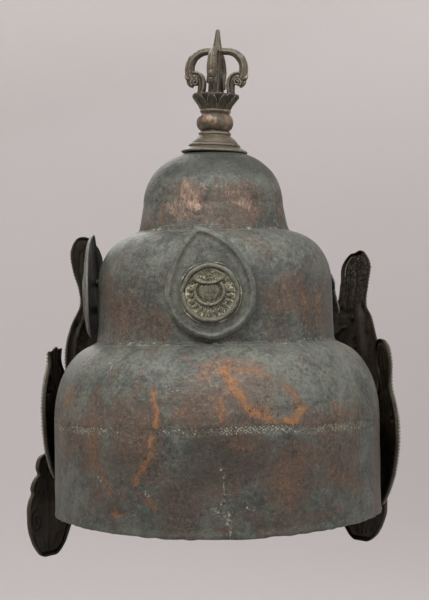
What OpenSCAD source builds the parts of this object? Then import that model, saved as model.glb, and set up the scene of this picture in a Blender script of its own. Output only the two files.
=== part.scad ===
// Ritual crown of hammered copper: three domed tiers, a half-vajra finial and a set of
// leaf plaques that stand off the walls on riveted pins.
// +Z is up, +Y is the way the wearer faces, and the origin is the centre of the head opening.

/* [Body] */
// Outside diameter of the lower tier
lower_d = 194.4; // [192:0.1:197]
// Height at which the middle tier leaves the shoulder of the lower one
lower_h = 107.4; // [106:0.1:109]
// Outside diameter of the middle tier at its foot
middle_d = 141.8; // [140:0.1:143]
// Height at which the dome leaves the shoulder of the middle tier
middle_h = 172.6; // [171:0.1:174]
// Outside diameter of the dome at its foot
dome_d = 89.2; // [88:0.1:90]
// Height of the dome's crown
dome_h = 222; // [221:0.1:223]
// Thickness of the hammered sheet of the body
wall = 1.6; // [1.2:0.1:1.8]

/* [Finial] */
// Height of the finial above the dome
finial_h = 72.5; // [71:0.1:74]
// Lean of the finial towards +X, in degrees
finial_lean = 2.5; // [0:0.1:3]
// How far the finial stands off the dome's axis, towards +X
finial_shift = 0.8; // [0:0.1:0.9]
// Turn of the four prongs about the finial's axis, in degrees
finial_turn = -11; // [-12:1:12]
// Diameter of the seat plate under the finial
seat_d = 39; // [38:0.1:41]
// Diameter of the lotus cup at its lip
lotus_d = 28.2; // [27:0.1:29]
// Diameter over the four prongs
prongs_d = 38; // [37:0.1:39]

/* [Teardrop plaques] */
// Radius of the round part of a teardrop plaque
teardrop_r = 25.9; // [24:0.1:26]
// Height of a teardrop's centre above the head opening
teardrop_z = 135.4; // [134.6:0.1:136]
// Radius of the roundel's bezel ring
bezel_r = 17.4; // [16.5:0.1:18]

/* [Leaf plaques] */
// Height of the front leaf
front_leaf_h = 168; // [160:1:172]
// Height of the two diagonal leaves
diagonal_leaf_h = 146; // [140:1:150]
// Height of the two side leaves
side_leaf_h = 102; // [98:1:106]
// Height of the two ear plaques
ear_h = 64; // [60:1:66]
// Thickness of the plaque sheet
sheet = 1.1; // [1:0.1:1.3]
// Depth of a plaque's turned-back edge
turned_edge = 2.2; // [1.8:0.1:2.4]

/* [Hidden] */
$fn = 96;

copper = "dimgray";
patina = "darkslategray";
bronze = "slategray";
gap = 0.1;              // clearance between fitted pieces
shoulder_steps = 16;    // segments of a rounded shoulder

lower_r = lower_d / 2;
middle_r = middle_d / 2;
dome_r = dome_d / 2;
bore_r = lower_r - wall;

// Superellipse quarter from (centre_r + a, centre_z) inwards to the radius end_r.
function shoulder(centre_r, centre_z, a, b, n, end_r) =
    let (last = acos(pow((end_r - centre_r) / a, n / 2)))
    [for (i = [0:shoulder_steps]) let (t = last * i / shoulder_steps)
        [centre_r + a * pow(cos(t), 2 / n), centre_z + b * pow(sin(t), 2 / n)]];

function reversed(list) = [for (i = [len(list) - 1:-1:0]) list[i]];

// ---- body -------------------------------------------------------------------------------

lower_neck_r = middle_r + gap;
upper_neck_r = dome_r + gap;
spindle_hole_r = 3.4;

// Shoulder curves: centre radius, centre height, exponent
lower_curve = [62, 60, 2.2];
middle_curve = [38, 138, 2.3];
dome_curve = [0, 189, 2.2];
lower_rise = 48;
middle_rise = middle_h - middle_curve[1] + 0.4;
dome_rise = dome_h - dome_curve[1];
middle_top_r = middle_r - 0.8;
dome_top_r = dome_r - 2.8;

module lower_tier_shell() {
    rim = 2.4;
    outer = concat(
        [[lower_r + 0.3, 0], [lower_r + 0.3, rim], [lower_r - 0.2, rim + 1.4]],
        shoulder(lower_curve[0], lower_curve[1], lower_r - lower_curve[0], lower_rise,
            lower_curve[2], lower_neck_r)
    );
    inner = concat(
        [[bore_r, 0]],
        shoulder(lower_curve[0], lower_curve[1], bore_r - lower_curve[0], lower_rise - wall,
            lower_curve[2], lower_neck_r)
    );
    rotate_extrude($fn = 180) polygon(concat(outer, reversed(inner)));
}

// A tier whose foot goes down through the neck of the tier below and turns out under it.
module upper_tier_shell(foot_r, foot_z, top_r, curve, rise, end_r, flange) {
    outer = concat(
        [[foot_r + flange, foot_z - 0.42 * flange - 4.4], [foot_r, foot_z - 3.2], [foot_r, foot_z + 2]],
        shoulder(curve[0], curve[1], top_r - curve[0], rise, curve[2], end_r)
    );
    inner = concat(
        [[foot_r + flange, foot_z - 0.42 * flange - 5.7], [foot_r - wall, foot_z - 5]],
        [[foot_r - wall, foot_z + 2]],
        shoulder(curve[0], curve[1], top_r - wall - curve[0], rise - wall, curve[2], end_r)
    );
    rotate_extrude($fn = 180) polygon(concat(outer, reversed(inner)));
}

module lower_tier() color(copper) difference() {
    lower_tier_shell();
    all_leaf_shanks(rivet_r + gap, bore_r - 3, lower_r + 3);
}

module middle_tier() color(copper) difference() {
    upper_tier_shell(middle_r, lower_h, middle_top_r, middle_curve, middle_rise, upper_neck_r, 7);
    all_teardrop_shanks(rivet_r + gap, middle_r - 6, middle_r + 3);
}

module top_dome() color(copper)
    upper_tier_shell(dome_r, middle_h, dome_top_r, dome_curve, dome_rise, spindle_hole_r, 6);

// Height of a shoulder curve at a radius.
function curve_height(curve, top_r, rise, r) =
    let (t = acos(pow((r - curve[0]) / (top_r - curve[0]), curve[2] / 2)))
    curve[1] + rise * pow(sin(t), 2 / curve[2]);

// Fillet of solder in the corner between the foot of a tier and the shoulder it stands on.
module seam(foot_r, top_r, curve, rise, size) {
    steps = 6;
    inner_r = foot_r + 0.2;
    function seat(r) = curve_height(curve, top_r, rise, r) + 0.05;
    arc = [for (i = [1:steps - 1]) let (t = 90 * i / steps)
        [inner_r + size * (1 - sin(t)), seat(inner_r + size) + 0.4 + (size + 0.6) * (1 - cos(t))]];
    base = [for (i = [0:3]) let (r = inner_r + size * (1 - i / 3)) [r, seat(r)]];
    rotate_extrude($fn = 180) polygon(concat(
        [[inner_r, seat(inner_r + size) + size + 1]],
        reversed(arc),
        base
    ));
}

seam_size = 2.4;
module lower_seam() color(copper) seam(middle_r, lower_r - 0.2, lower_curve, lower_rise, seam_size);
module upper_seam() color(copper) seam(dome_r, middle_top_r, middle_curve, middle_rise, seam_size);

// ---- finial -----------------------------------------------------------------------------

seat_z = dome_h;
core_r = 2.2;           // radius of the spindle inside the stack
shaft_r = 2.6;          // radius of the central prong
pedestal_z = seat_z + 1.4;
bulb_z = pedestal_z + 7.2;
lotus_z = bulb_z + 15.4;
prong_z = lotus_z + 9;
bulb_r = 11.1;
seat_r = seat_d / 2;
lotus_r = lotus_d / 2;

// Everything on the finial's own axis, which leans about its seat on the dome.
module on_finial_axis() translate([finial_shift, 0, seat_z]) rotate([0, finial_lean, 0])
    translate([0, 0, -seat_z]) children();

module turned(points) rotate_extrude() polygon(points);

module seat_plate() color(bronze) on_finial_axis() turned([
    [core_r + gap, seat_z + 0.35], [9, seat_z + 0.1], [seat_r - 4, seat_z - 1], [seat_r, seat_z - 2],
    [seat_r + 0.4, seat_z - 1.2], [seat_r, seat_z - 0.4], [15.6, pedestal_z], [core_r + gap, pedestal_z]
]);

module pedestal() color(bronze) on_finial_axis() turned([
    [core_r + gap, pedestal_z], [15, pedestal_z], [15.5, pedestal_z + 0.8], [15, pedestal_z + 1.7],
    [14.2, pedestal_z + 2.1], [13.9, pedestal_z + 3], [12.6, pedestal_z + 3.9], [11.4, pedestal_z + 5.2],
    [9.6, pedestal_z + 6.4], [9.3, bulb_z], [core_r + gap, bulb_z]
]);

module bulb() color(bronze) on_finial_axis() {
    ring_h = 2.2;
    belly_h = 11;
    steps = 14;
    belly = [for (i = [0:steps]) let (t = -58 + 116 * i / steps)
        [bulb_r - 7 + 7 * cos(t), bulb_z + ring_h + belly_h / 2 + belly_h / 2 * sin(t) / sin(58)]];
    turned(concat(
        [[core_r + gap, bulb_z], [9, bulb_z], [9.6, bulb_z + ring_h / 2], [9, bulb_z + ring_h]],
        belly,
        [[8.9, lotus_z - 1.6], [9.3, lotus_z - 0.8], [8.9, lotus_z], [core_r + gap, lotus_z]]
    ));
}

// Lotus cup: a flaring bowl with a ring of petals standing on its side.
module lotus_cup() color(bronze) on_finial_axis() {
    petals = 10;
    difference() {
        union() {
            turned([
                [core_r + gap, lotus_z], [8.8, lotus_z], [9.2, lotus_z + 1.4], [11, lotus_z + 4.2],
                [lotus_r - 0.9, lotus_z + 7.4], [lotus_r - 0.6, prong_z], [core_r + gap, prong_z]
            ]);
            for (i = [0:petals - 1]) rotate([0, 0, finial_turn + 360 * (i + 0.5) / petals])
                translate([lotus_r - 3.9, 0, lotus_z + 5.3]) sphere(r = 3.4, $fn = 40);
        }
        translate([0, 0, prong_z]) cylinder(r = lotus_r + 5, h = 9);
        translate([0, 0, lotus_z - 9]) cylinder(r = lotus_r + 5, h = 9);
        translate([0, 0, lotus_z - 1]) cylinder(r = core_r + gap, h = 14);
    }
}

tip_z = seat_z + finial_h;
shaft_top_z = tip_z - 11.6;
washer_z = dome_h - wall - 2.6;
module spindle() color(bronze) on_finial_axis() turned([
    [0, washer_z - 2.4], [2.6, washer_z - 2.1], [3.4, washer_z - 0.9], [3.4, washer_z], [core_r, washer_z],
    [core_r, prong_z], [shaft_r, prong_z], [shaft_r, shaft_top_z], [1.9, shaft_top_z + 5],
    [1.1, tip_z - 0.9], [0.5, tip_z], [0, tip_z]
]);

module spindle_washer() color(bronze) on_finial_axis() translate([0, 0, washer_z]) difference() {
    cylinder(r = 8, h = 1.4);
    translate([0, 0, -1]) cylinder(r = core_r + gap, h = 4);
}

// A ball whose poles stay clear of the bars that run into it.
module ball(r) rotate([25, 0, 40]) sphere(r = r, $fn = 48);

// One curved prong that rises from the lotus, out of a sea-monster's head, and bends in to the shaft.
module prong(turn) color(bronze) on_finial_axis() rotate([0, 0, turn + finial_turn]) {
    bar_r = 2.5;
    bend_r = 10.6;
    bend_x = prongs_d / 2 - bar_r - bend_r;
    bend_z = prong_z + 15.4;
    neck_x = 9;
    head_x = 11.8;
    head_z = prong_z + 8.2;
    difference() {
        union() {
            translate([neck_x, 0, prong_z]) cylinder(r = 2.3, h = 6.6, $fn = 40);
            translate([head_x, 0.1, head_z]) ball(4.2);
            translate([head_x + 4.6, -0.1, head_z - 0.9]) ball(2.2);
            translate([bend_x, 0, bend_z]) rotate([90, 0, 0]) rotate([0, 0, -34])
                rotate_extrude(angle = 124, $fn = 64) translate([bend_r, 0]) circle(r = bar_r, $fn = 32);
            translate([0, 0.05, bend_z + bend_r]) rotate([0, 90, 0])
                cylinder(r = 2.2, h = bend_x + 1, $fn = 40);
        }
        translate([0, 0, prong_z + 10]) cylinder(r = shaft_r + 0.02, h = 30);
    }
}

// ---- plaques ----------------------------------------------------------------------------

// Each plaque is described in a frame whose -Y points out of the crown, and is then turned
// about Z: 0 is the back, 90 the right side, 180 the front, -90 the left side.
// A plaque: [turn, yaw, foot height, height, radius at foot, radius at tip, bulge, lean power]
TURN = 0;
YAW = 1;
FOOT = 2;
TALL = 3;
R_FOOT = 4;
R_TIP = 5;
BULGE = 6;
POWER = 7;

bend_flat = 150;        // horizontal bend radius of every plaque sheet
profile_steps = 14;

teardrop_tall = 2.45 * teardrop_r;
teardrop_foot = teardrop_z - teardrop_r;
// The left teardrop has been bent round a little, so that its face turns to the front
function teardrop_at(turn) = turn == LEFT
    ? [turn, -4.5, teardrop_foot, teardrop_tall, 74.7, 74.9, 1.2, 2]
    : [turn, 0, teardrop_foot, teardrop_tall, 74.2, 74.4, 1.2, 2];

// Turns of the three teardrops that are left; the fourth is lost but for a scrap on its pins
BACK = -2;
FRONT = 180;
LEFT = -91;
scrap_at = [105, 0, 123, 24, 75.6, 72.8, -0.5, 1];

// The leaves and the ears
front_leaf_at = [180, 0, 20, front_leaf_h, 102.5, 127, 3, 1.5];
right_diagonal_at = [137, 0, 18, diagonal_leaf_h, 102.5, 133, 2, 1.3];
left_diagonal_at = [-137, 0, 29, diagonal_leaf_h, 102.5, 126.5, 1, 1.5];
right_side_at = [102, 3, 5, side_leaf_h, 101, 104.5, 4.5, 1.4];
left_side_at = [-102, -3, 24, side_leaf_h, 100, 101.5, 1.4, 1.4];
right_ear_at = [119, 0, -20, ear_h, 104, 106, 1, 1];
left_ear_at = [-112, -4, -25.5, ear_h, 114.6, 115.4, 0.5, 1];

function sheet_radius(p, h) =
    p[R_FOOT] + (p[R_TIP] - p[R_FOOT]) * pow(max(h, 0), p[POWER]) + 4 * p[BULGE] * h * (1 - h);

module place(p) rotate([0, 0, p[TURN]]) translate([0, -p[R_FOOT], 0]) rotate([0, 0, p[YAW]])
    translate([0, p[R_FOOT], 0]) children();

// The bent layer between two offsets from the sheet's front face, positive outwards.
module layer(p, back, front) {
    margin = 0.02;
    heights = [for (i = [0:profile_steps]) -margin + (1 + 2 * margin) * i / profile_steps];
    line = [for (h = heights) [bend_flat + sheet_radius(p, h) - p[R_FOOT], p[FOOT] + h * p[TALL]]];
    translate([0, bend_flat - p[R_FOOT], 0]) rotate_extrude($fn = 360) polygon(concat(
        [for (q = line) [q[0] + front, q[1]]],
        [for (q = reversed(line)) [q[0] + back, q[1]]]
    ));
}

module prism(points) rotate([90, 0, 0]) linear_extrude(height = 200) polygon(points);

// An outline shrunk about a centre.
function shrunk(points, centre, k) = [for (q = points) centre + k * (q - centre)];

// A sheet with its edge turned back, cut to an outline.
module dished_sheet(p, points, centre, inset) {
    intersection() {
        union() {
            layer(p, -sheet, 0);
            difference() {
                layer(p, -turned_edge, 0);
                prism(shrunk(points, centre, inset));
            }
        }
        prism(points);
    }
}

// -- teardrop plaques on the middle tier --

// Radius of the teardrop at an angle from its top, towards +X. The point leans to -X.
tip_angle = -10.5;
tip_rise = 0.45;
function teardrop_reach(angle) =
    let (away = angle - tip_angle)
    let (span = away > 0 ? 85 : 60)
    teardrop_r * (1 + tip_rise * pow(max(0, 1 - abs(away) / span), 1.8));
teardrop_centre = [0, teardrop_z];
teardrop_outline = [for (i = [0:47]) let (a = tip_angle + 360 * i / 48)
    let (wrapped = a > 180 ? a - 360 : a)
    teardrop_centre + teardrop_reach(wrapped) * [sin(a), cos(a)]];

module teardrop(turn) color(patina) place(teardrop_at(turn))
    dished_sheet(teardrop_at(turn), teardrop_outline, teardrop_centre, 0.955);

// The torn scrap of the lost teardrop, cracked round its two pins.
scrap_outline = [
    [-9, 124.5], [-5, 123], [-1, 124.5], [4, 123.5], [8, 127], [7, 131], [9, 136], [7.5, 141], [3, 143],
    [0, 146.5], [-4, 145], [-7, 147], [-8.5, 142], [-8, 137], [-10, 133.5], [-9, 129]
];
module right_scrap() color(patina) place(scrap_at) intersection() {
    layer(scrap_at, -sheet, 0);
    prism(scrap_outline);
}

bezel_wall = 2.2;
bezel_high = 1.6;

// A round rim standing on a sheet, at a height on its centre line.
module bezel_ring(p, z, r) color(bronze) place(p) intersection() {
    layer(p, 0, bezel_high);
    translate([0, 0, z]) rotate([90, 0, 0]) difference() {
        cylinder(r = r, h = 200);
        translate([0, 0, -1]) cylinder(r = r - bezel_wall, h = 202);
    }
}

// A lotus roundel inside a bezel: a disc, a ring of petals and a round seed pod, in three steps.
module lotus_roundel(p, z, r) color(bronze) place(p) {
    disc_r = r - bezel_wall - gap;
    petals = 12;
    intersection() {
        layer(p, 0, 0.7);
        translate([0, 0, z]) rotate([90, 0, 0]) cylinder(r = disc_r, h = 200);
    }
    intersection() {
        layer(p, 0.3, 1.5);
        translate([0, 0, z]) rotate([90, 0, 0]) linear_extrude(height = 200)
            for (i = [0:petals - 1]) rotate(360 * (i + 0.5) / petals)
                translate([0.72 * disc_r, 0]) circle(r = 0.155 * disc_r, $fn = 40);
    }
    intersection() {
        layer(p, 0.3, 2.4);
        translate([0, 0, z]) rotate([90, 0, 0]) cylinder(r = 0.42 * disc_r, h = 200);
    }
}

// -- leaf plaques on the lower tier --

// Smooth curve through four neighbouring values.
function blend4(a, b, c, d, t) =
    0.5 * (2 * b + (c - a) * t + (2 * a - 5 * b + 4 * c - d) * t * t + (3 * b - a - 3 * c + d) * t * t * t);
function smooth(keys, per) = [for (i = [1:len(keys) - 3]) for (k = [0:per - 1])
    blend4(keys[i - 1], keys[i], keys[i + 1], keys[i + 2], k / per)];

// Half outline of a leaf: [share of height, half width], with a body and a tongue above it.
function leaf_keys(body, tongue) = [
    [0.012, -0.24 * body], [0, 0], [0.012, 0.24 * body], [0.10, 0.58 * body], [0.23, 0.90 * body],
    [0.37, body], [0.5, 0.93 * body], [0.61, 0.66 * body], [0.69, 0.86 * tongue], [0.76, 0.76 * tongue],
    [0.85, 0.98 * tongue], [0.93, 0.94 * tongue], [0.985, 0.5 * tongue], [1, 0], [0.985, -0.5 * tongue]
];

// The same, for a leaf whose body reaches further up under a tongue with no neck.
function high_leaf_keys(body, tongue) = [
    [0.012, -0.24 * body], [0, 0], [0.012, 0.24 * body], [0.10, 0.58 * body], [0.23, 0.90 * body],
    [0.37, body], [0.48, body], [0.56, 0.93 * body], [0.64, 0.68 * body], [0.71, 0.46 * body],
    [0.76, tongue], [0.85, 0.96 * tongue], [0.93, 0.98 * tongue], [0.985, 0.5 * tongue], [1, 0],
    [0.985, -0.5 * tongue]
];
// Half outline of an ear plaque, with a shoulder lobe and a top lobe.
function ear_keys(body) = [
    [0.012, -0.34 * body], [0, 0], [0.012, 0.34 * body], [0.13, 0.74 * body], [0.28, 0.97 * body],
    [0.42, body], [0.55, 0.93 * body], [0.62, 0.74 * body], [0.68, 0.76 * body], [0.76, 0.62 * body],
    [0.8, 0.44 * body], [0.87, 0.47 * body], [0.95, 0.34 * body], [1, 0], [0.95, -0.34 * body]
];

// Full outline from a half outline, in millimetres.
function outline(keys, p) =
    let (half = [for (q = smooth(keys, 3)) [q[1], p[FOOT] + q[0] * p[TALL]]])
    let (tip = [0, p[FOOT] + p[TALL]])
    concat(half, [tip], [for (i = [len(half) - 1:-1:1]) [-half[i][0], half[i][1]]]);

// An outline whose tongue is bent sideways by shift.
function bent_over(points, p, shift) = [for (q = points)
    let (h = max(0, min(1, ((q[1] - p[FOOT]) / p[TALL] - 0.55) / 0.17)))
    [q[0] + shift * h * h * (3 - 2 * h), q[1]]];

front_outline = outline(leaf_keys(38, 14), front_leaf_at);
right_diagonal_outline =
    bent_over(outline(high_leaf_keys(38, 11.8), right_diagonal_at), right_diagonal_at, -5.8);
left_diagonal_outline = outline(leaf_keys(31, 12.6), left_diagonal_at);
right_side_outline = outline(leaf_keys(26, 12), right_side_at);
left_side_outline = outline(leaf_keys(26, 12), left_side_at);
right_ear_outline = outline(ear_keys(26), right_ear_at);
left_ear_outline = outline(ear_keys(26), left_ear_at);

function leaf_centre(p) = [0, p[FOOT] + 0.38 * p[TALL]];

module leaf(p, points) color(patina) difference() {
    place(p) dished_sheet(p, points, leaf_centre(p), 0.965);
    leaf_shanks(p, rivet_r + gap, p[R_FOOT] - 8, p[R_FOOT] + 20);
}

// A beaded wire laid along the front of a leaf's edge.
module leaf_border(p, points) color(bronze) place(p) intersection() {
    difference() {
        layer(p, 0, 1.5);
        prism(shrunk(points, leaf_centre(p), 0.93));
    }
    prism(shrunk(points, leaf_centre(p), 0.995));
}

// The ragged break across the neck of the left side leaf.
break_z = 101;
module broken_away() place(left_side_at) prism([
    [-40, break_z - 5], [-17, break_z - 5], [-11, break_z + 1], [-6, break_z - 1], [-2, break_z + 4],
    [2, break_z + 1.5], [6, break_z - 3], [12, break_z - 2], [17, break_z - 8], [40, break_z - 8],
    [40, 140], [-40, 140]
]);

// -- pins and rivets --

rivet_r = 1.5;
head_r = 3.1;
spacer_r = 3.2;

// The leaves that are riveted on: the leaf, its rivets' turn from its centre line, and their heights.
riveted = [
    [front_leaf_at, 0, [32, 56]], [right_diagonal_at, 0, [34, 56]], [left_diagonal_at, 0, [42, 60]],
    [right_side_at, 8, [30, 56]], [left_side_at, -8, [42, 66]], [right_ear_at, 6, [10, 26]],
    [left_ear_at, -8, [10, 26]]
];

// Places its children at a leaf's rivets, with +Z outwards.
module at_rivet(turn, z) rotate([0, 0, turn]) translate([0, 0, z]) rotate([90, 0, 0]) children();

// Distance of a sheet's front face from the crown's axis, along a ray an angle off its centre line.
function sheet_distance(p, off, z) =
    let (reach = bend_flat + sheet_radius(p, (z - p[FOOT]) / p[TALL]) - p[R_FOOT])
    let (bend_x = -bend_flat * sin(p[YAW]), bend_y = bend_flat * cos(p[YAW]) - p[R_FOOT])
    let (along = bend_x * sin(off) - bend_y * cos(off))
    along + sqrt(along * along - bend_x * bend_x - bend_y * bend_y + reach * reach);

// Radial rods at a leaf's rivet places.
module leaf_shanks(p, r, from, to) {
    for (q = riveted) if (q[0] == p) for (z = q[2]) at_rivet(p[TURN] + q[1], z)
        translate([0, 0, from]) cylinder(r = r, h = to - from, $fn = 32);
}
module all_leaf_shanks(r, from, to) {
    for (q = riveted) leaf_shanks(q[0], r, from, to);
}

// Each teardrop, the turn of its pins from its centre line, and their heights
pinned = [
    [teardrop_at(BACK), 0, [teardrop_z - 12, teardrop_z + 12]],
    [teardrop_at(FRONT), 0, [teardrop_z - 12, teardrop_z + 12]],
    [teardrop_at(LEFT), -14, [teardrop_z - 8, teardrop_z + 8]],
    [scrap_at, 0, [teardrop_z - 5.4, teardrop_z + 4]]
];

module all_teardrop_shanks(r, from, to) {
    for (q = pinned, z = q[2]) at_rivet(q[0][TURN] + q[1], z)
        translate([0, 0, from]) cylinder(r = r, h = to - from, $fn = 32);
}

// Shouldered pins that hold the teardrops off the middle tier and are hammered over inside it.
module teardrop_pins() color(bronze) for (q = pinned) difference() {
    for (z = q[2]) at_rivet(q[0][TURN] + q[1], z) {
        translate([0, 0, middle_r - 3.6]) cylinder(r = rivet_r, h = 8, $fn = 32);
        translate([0, 0, middle_r + 0.2]) cylinder(r = 2.4, h = 6, $fn = 32);
    }
    place(q[0]) layer(q[0], -sheet, 12);
}

// Round-headed rivets, hammered flush inside the lower tier.
module leaf_rivets() color(bronze) {
    for (q = riveted, z = q[2]) let (p = q[0], front = sheet_distance(p, q[1], z))
        at_rivet(p[TURN] + q[1], z) {
            translate([0, 0, bore_r + 0.3]) cylinder(r = rivet_r, h = front - bore_r, $fn = 32);
            translate([0, 0, front]) intersection() {
                translate([0, 0, -1.4]) sphere(r = head_r + 0.4, $fn = 40);
                translate([0, 0, 0.35]) cylinder(r = head_r, h = 4, $fn = 40);
            }
        }
}

// Tubes that keep the leaves off the wall, one round each rivet.
module leaf_spacers() color(bronze) {
    for (q = riveted) difference() {
        for (z = q[2]) at_rivet(q[0][TURN] + q[1], z) translate([0, 0, lower_r + 0.06]) difference() {
            cylinder(r = spacer_r, h = 24, $fn = 40);
            translate([0, 0, -1]) cylinder(r = rivet_r + gap, h = 40, $fn = 32);
        }
        place(q[0]) layer(q[0], -sheet, 30);
    }
}

// ---- the nodes --------------------------------------------------------------------------

lower_tier();
middle_tier();
top_dome();
lower_seam();
upper_seam();
seat_plate();
pedestal();
bulb();
lotus_cup();
spindle();
spindle_washer();
prong(-90);  // prong_back
prong(0);  // prong_right
prong(90);  // prong_front
prong(180);  // prong_left
teardrop(BACK);  // back_teardrop
bezel_ring(teardrop_at(BACK), teardrop_z, bezel_r);  // back_bezel
lotus_roundel(teardrop_at(BACK), teardrop_z, bezel_r);  // back_lotus
teardrop(FRONT);  // front_teardrop
bezel_ring(teardrop_at(FRONT), teardrop_z, bezel_r);  // front_bezel
lotus_roundel(teardrop_at(FRONT), teardrop_z, bezel_r);  // front_lotus
teardrop(LEFT);  // left_teardrop
bezel_ring(teardrop_at(LEFT), teardrop_z, bezel_r);  // left_bezel
lotus_roundel(teardrop_at(LEFT), teardrop_z, bezel_r);  // left_lotus
right_scrap();  // right_teardrop_scrap
leaf(front_leaf_at, front_outline);  // front_leaf
leaf_border(front_leaf_at, front_outline);  // front_leaf_border
bezel_ring(front_leaf_at, 88, 18);  // front_leaf_bezel
lotus_roundel(front_leaf_at, 88, 18);  // front_leaf_lotus
leaf(right_diagonal_at, right_diagonal_outline);  // right_diagonal_leaf
leaf_border(right_diagonal_at, right_diagonal_outline);  // right_diagonal_border
bezel_ring(right_diagonal_at, 80, 16);  // right_diagonal_bezel
lotus_roundel(right_diagonal_at, 80, 16);  // right_diagonal_lotus
leaf(left_diagonal_at, left_diagonal_outline);  // left_diagonal_leaf
leaf_border(left_diagonal_at, left_diagonal_outline);  // left_diagonal_border
bezel_ring(left_diagonal_at, 87, 16);  // left_diagonal_bezel
lotus_roundel(left_diagonal_at, 87, 16);  // left_diagonal_lotus
leaf(right_side_at, right_side_outline);  // right_side_leaf
leaf_border(right_side_at, right_side_outline);  // right_side_border
color(patina) difference() {  // left_side_leaf
    leaf(left_side_at, left_side_outline);
    broken_away();
}
color(bronze) difference() {  // left_side_border
    leaf_border(left_side_at, left_side_outline);
    broken_away();
}
leaf(right_ear_at, right_ear_outline);  // right_ear_plaque
leaf(left_ear_at, left_ear_outline);  // left_ear_plaque
teardrop_pins();
leaf_rivets();
leaf_spacers();
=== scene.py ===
"""Looks of a hammered copper ritual crown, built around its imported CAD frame."""
import math
import bpy
import numpy as np
from mathutils import Matrix, Vector


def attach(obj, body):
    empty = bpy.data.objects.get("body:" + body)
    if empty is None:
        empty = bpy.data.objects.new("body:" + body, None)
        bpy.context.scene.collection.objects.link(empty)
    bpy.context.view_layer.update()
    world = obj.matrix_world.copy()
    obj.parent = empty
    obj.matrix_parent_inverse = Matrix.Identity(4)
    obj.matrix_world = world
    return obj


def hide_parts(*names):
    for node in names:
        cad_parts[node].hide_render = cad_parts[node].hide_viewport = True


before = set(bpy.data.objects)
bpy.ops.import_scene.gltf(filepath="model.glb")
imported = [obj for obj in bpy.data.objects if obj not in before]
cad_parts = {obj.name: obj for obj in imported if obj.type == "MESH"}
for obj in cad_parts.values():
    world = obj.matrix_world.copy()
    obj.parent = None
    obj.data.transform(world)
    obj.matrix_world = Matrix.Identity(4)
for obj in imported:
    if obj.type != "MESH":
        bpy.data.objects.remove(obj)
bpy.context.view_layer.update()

scene = bpy.context.scene
MM = 0.001

# ---- noise ------------------------------------------------------------------------------


def scramble(i, j, k, seed):
    """A number from 0 to 1 for each lattice point."""
    h = i * np.uint32(73856093) ^ j * np.uint32(19349663) ^ k * np.uint32(83492791)
    h = h ^ np.uint32(seed * 2654435761 % 4294967296)
    h = (h ^ (h >> np.uint32(15))) * np.uint32(2246822519)
    h = (h ^ (h >> np.uint32(13))) * np.uint32(3266489917)
    return (h ^ (h >> np.uint32(16))) / 4294967295.0


def lattice(p, scale):
    q = np.asarray(p, float).reshape(-1, 3) / scale
    base = np.floor(q)
    cell = base.astype(np.int64).astype(np.uint32)
    return q, base, cell


def noise(p, scale, seed=0):
    """Smooth noise from -1 to 1 with features about as wide as scale."""
    q, base, cell = lattice(p, scale)
    f = q - base
    u = f * f * f * (f * (f * 6 - 15) + 10)
    total = np.zeros(len(q))
    for dx in (0, 1):
        wx = u[:, 0] if dx else 1 - u[:, 0]
        for dy in (0, 1):
            wy = u[:, 1] if dy else 1 - u[:, 1]
            for dz in (0, 1):
                wz = u[:, 2] if dz else 1 - u[:, 2]
                corner = scramble(cell[:, 0] + np.uint32(dx), cell[:, 1] + np.uint32(dy),
                                  cell[:, 2] + np.uint32(dz), seed)
                total += wx * wy * wz * corner
    return (2 * total - 1).reshape(np.shape(p)[:-1])


def fbm(p, scale, seed=0, octaves=4):
    """Noise in octaves, each half as wide and half as strong as the one before."""
    total, weight, size = 0.0, 1.0, 0.0
    for n in range(octaves):
        total = total + weight * noise(p, scale / 2 ** n, seed + 17 * n)
        size += weight
        weight *= 0.5
    return total / size


def cells(p, scale, seed=0):
    """Distance to the nearest of scattered points, in units of scale."""
    q, base, cell = lattice(p, scale)
    near = np.full(len(q), 9.0)
    for dx in (-1, 0, 1):
        for dy in (-1, 0, 1):
            for dz in (-1, 0, 1):
                step = np.array([dx, dy, dz])
                c = (cell.astype(np.int64) + step).astype(np.uint32)
                d = np.zeros(len(q))
                for axis in range(3):
                    point = base[:, axis] + step[axis] + scramble(c[:, 0], c[:, 1], c[:, 2], seed + 7 * axis)
                    d += (q[:, axis] - point) ** 2
                near = np.minimum(near, np.sqrt(d))
    return near.reshape(np.shape(p)[:-1])


def plane(x, y):
    """Points (x, y, 0)."""
    return np.stack([x, y, 0 * x], -1)


def around(n):
    """The angles of n equal steps round a circle."""
    return np.arange(n) * 2 * math.pi / n


def ease(x, low=0.0, high=1.0):
    t = np.clip((x - low) / (high - low), 0, 1)
    return t * t * (3 - 2 * t)


def to_line(x, y, points):
    """Distance of each (x, y) from a polyline."""
    points = np.asarray(points, float)
    best = np.full(np.shape(x), 1e9)
    for a, b in zip(points[:-1], points[1:]):
        d = b - a
        t = np.clip(((x - a[0]) * d[0] + (y - a[1]) * d[1]) / (d @ d + 1e-12), 0, 1)
        best = np.minimum(best, np.hypot(x - a[0] - t * d[0], y - a[1] - t * d[1]))
    return best


# ---- meshes -----------------------------------------------------------------------------


def grid_quads(rows, cols, wrap_rows=False, wrap_cols=False):
    r, c = np.meshgrid(np.arange(rows - (not wrap_rows)), np.arange(cols - (not wrap_cols)), indexing="ij")
    r2, c2 = (r + 1) % rows, (c + 1) % cols
    return np.stack([r * cols + c, r * cols + c2, r2 * cols + c2, r2 * cols + c], -1).reshape(-1, 4)


def end_caps(count, n):
    """Fans that close count points in rings of n: round point count at the start, count + 1 at the end."""
    k = np.arange(n)
    after = (k + 1) % n
    return np.concatenate([np.stack([np.full(n, count), after, k], 1),
                           np.stack([np.full(n, count + 1), count - n + k, count - n + after], 1)])


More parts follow.
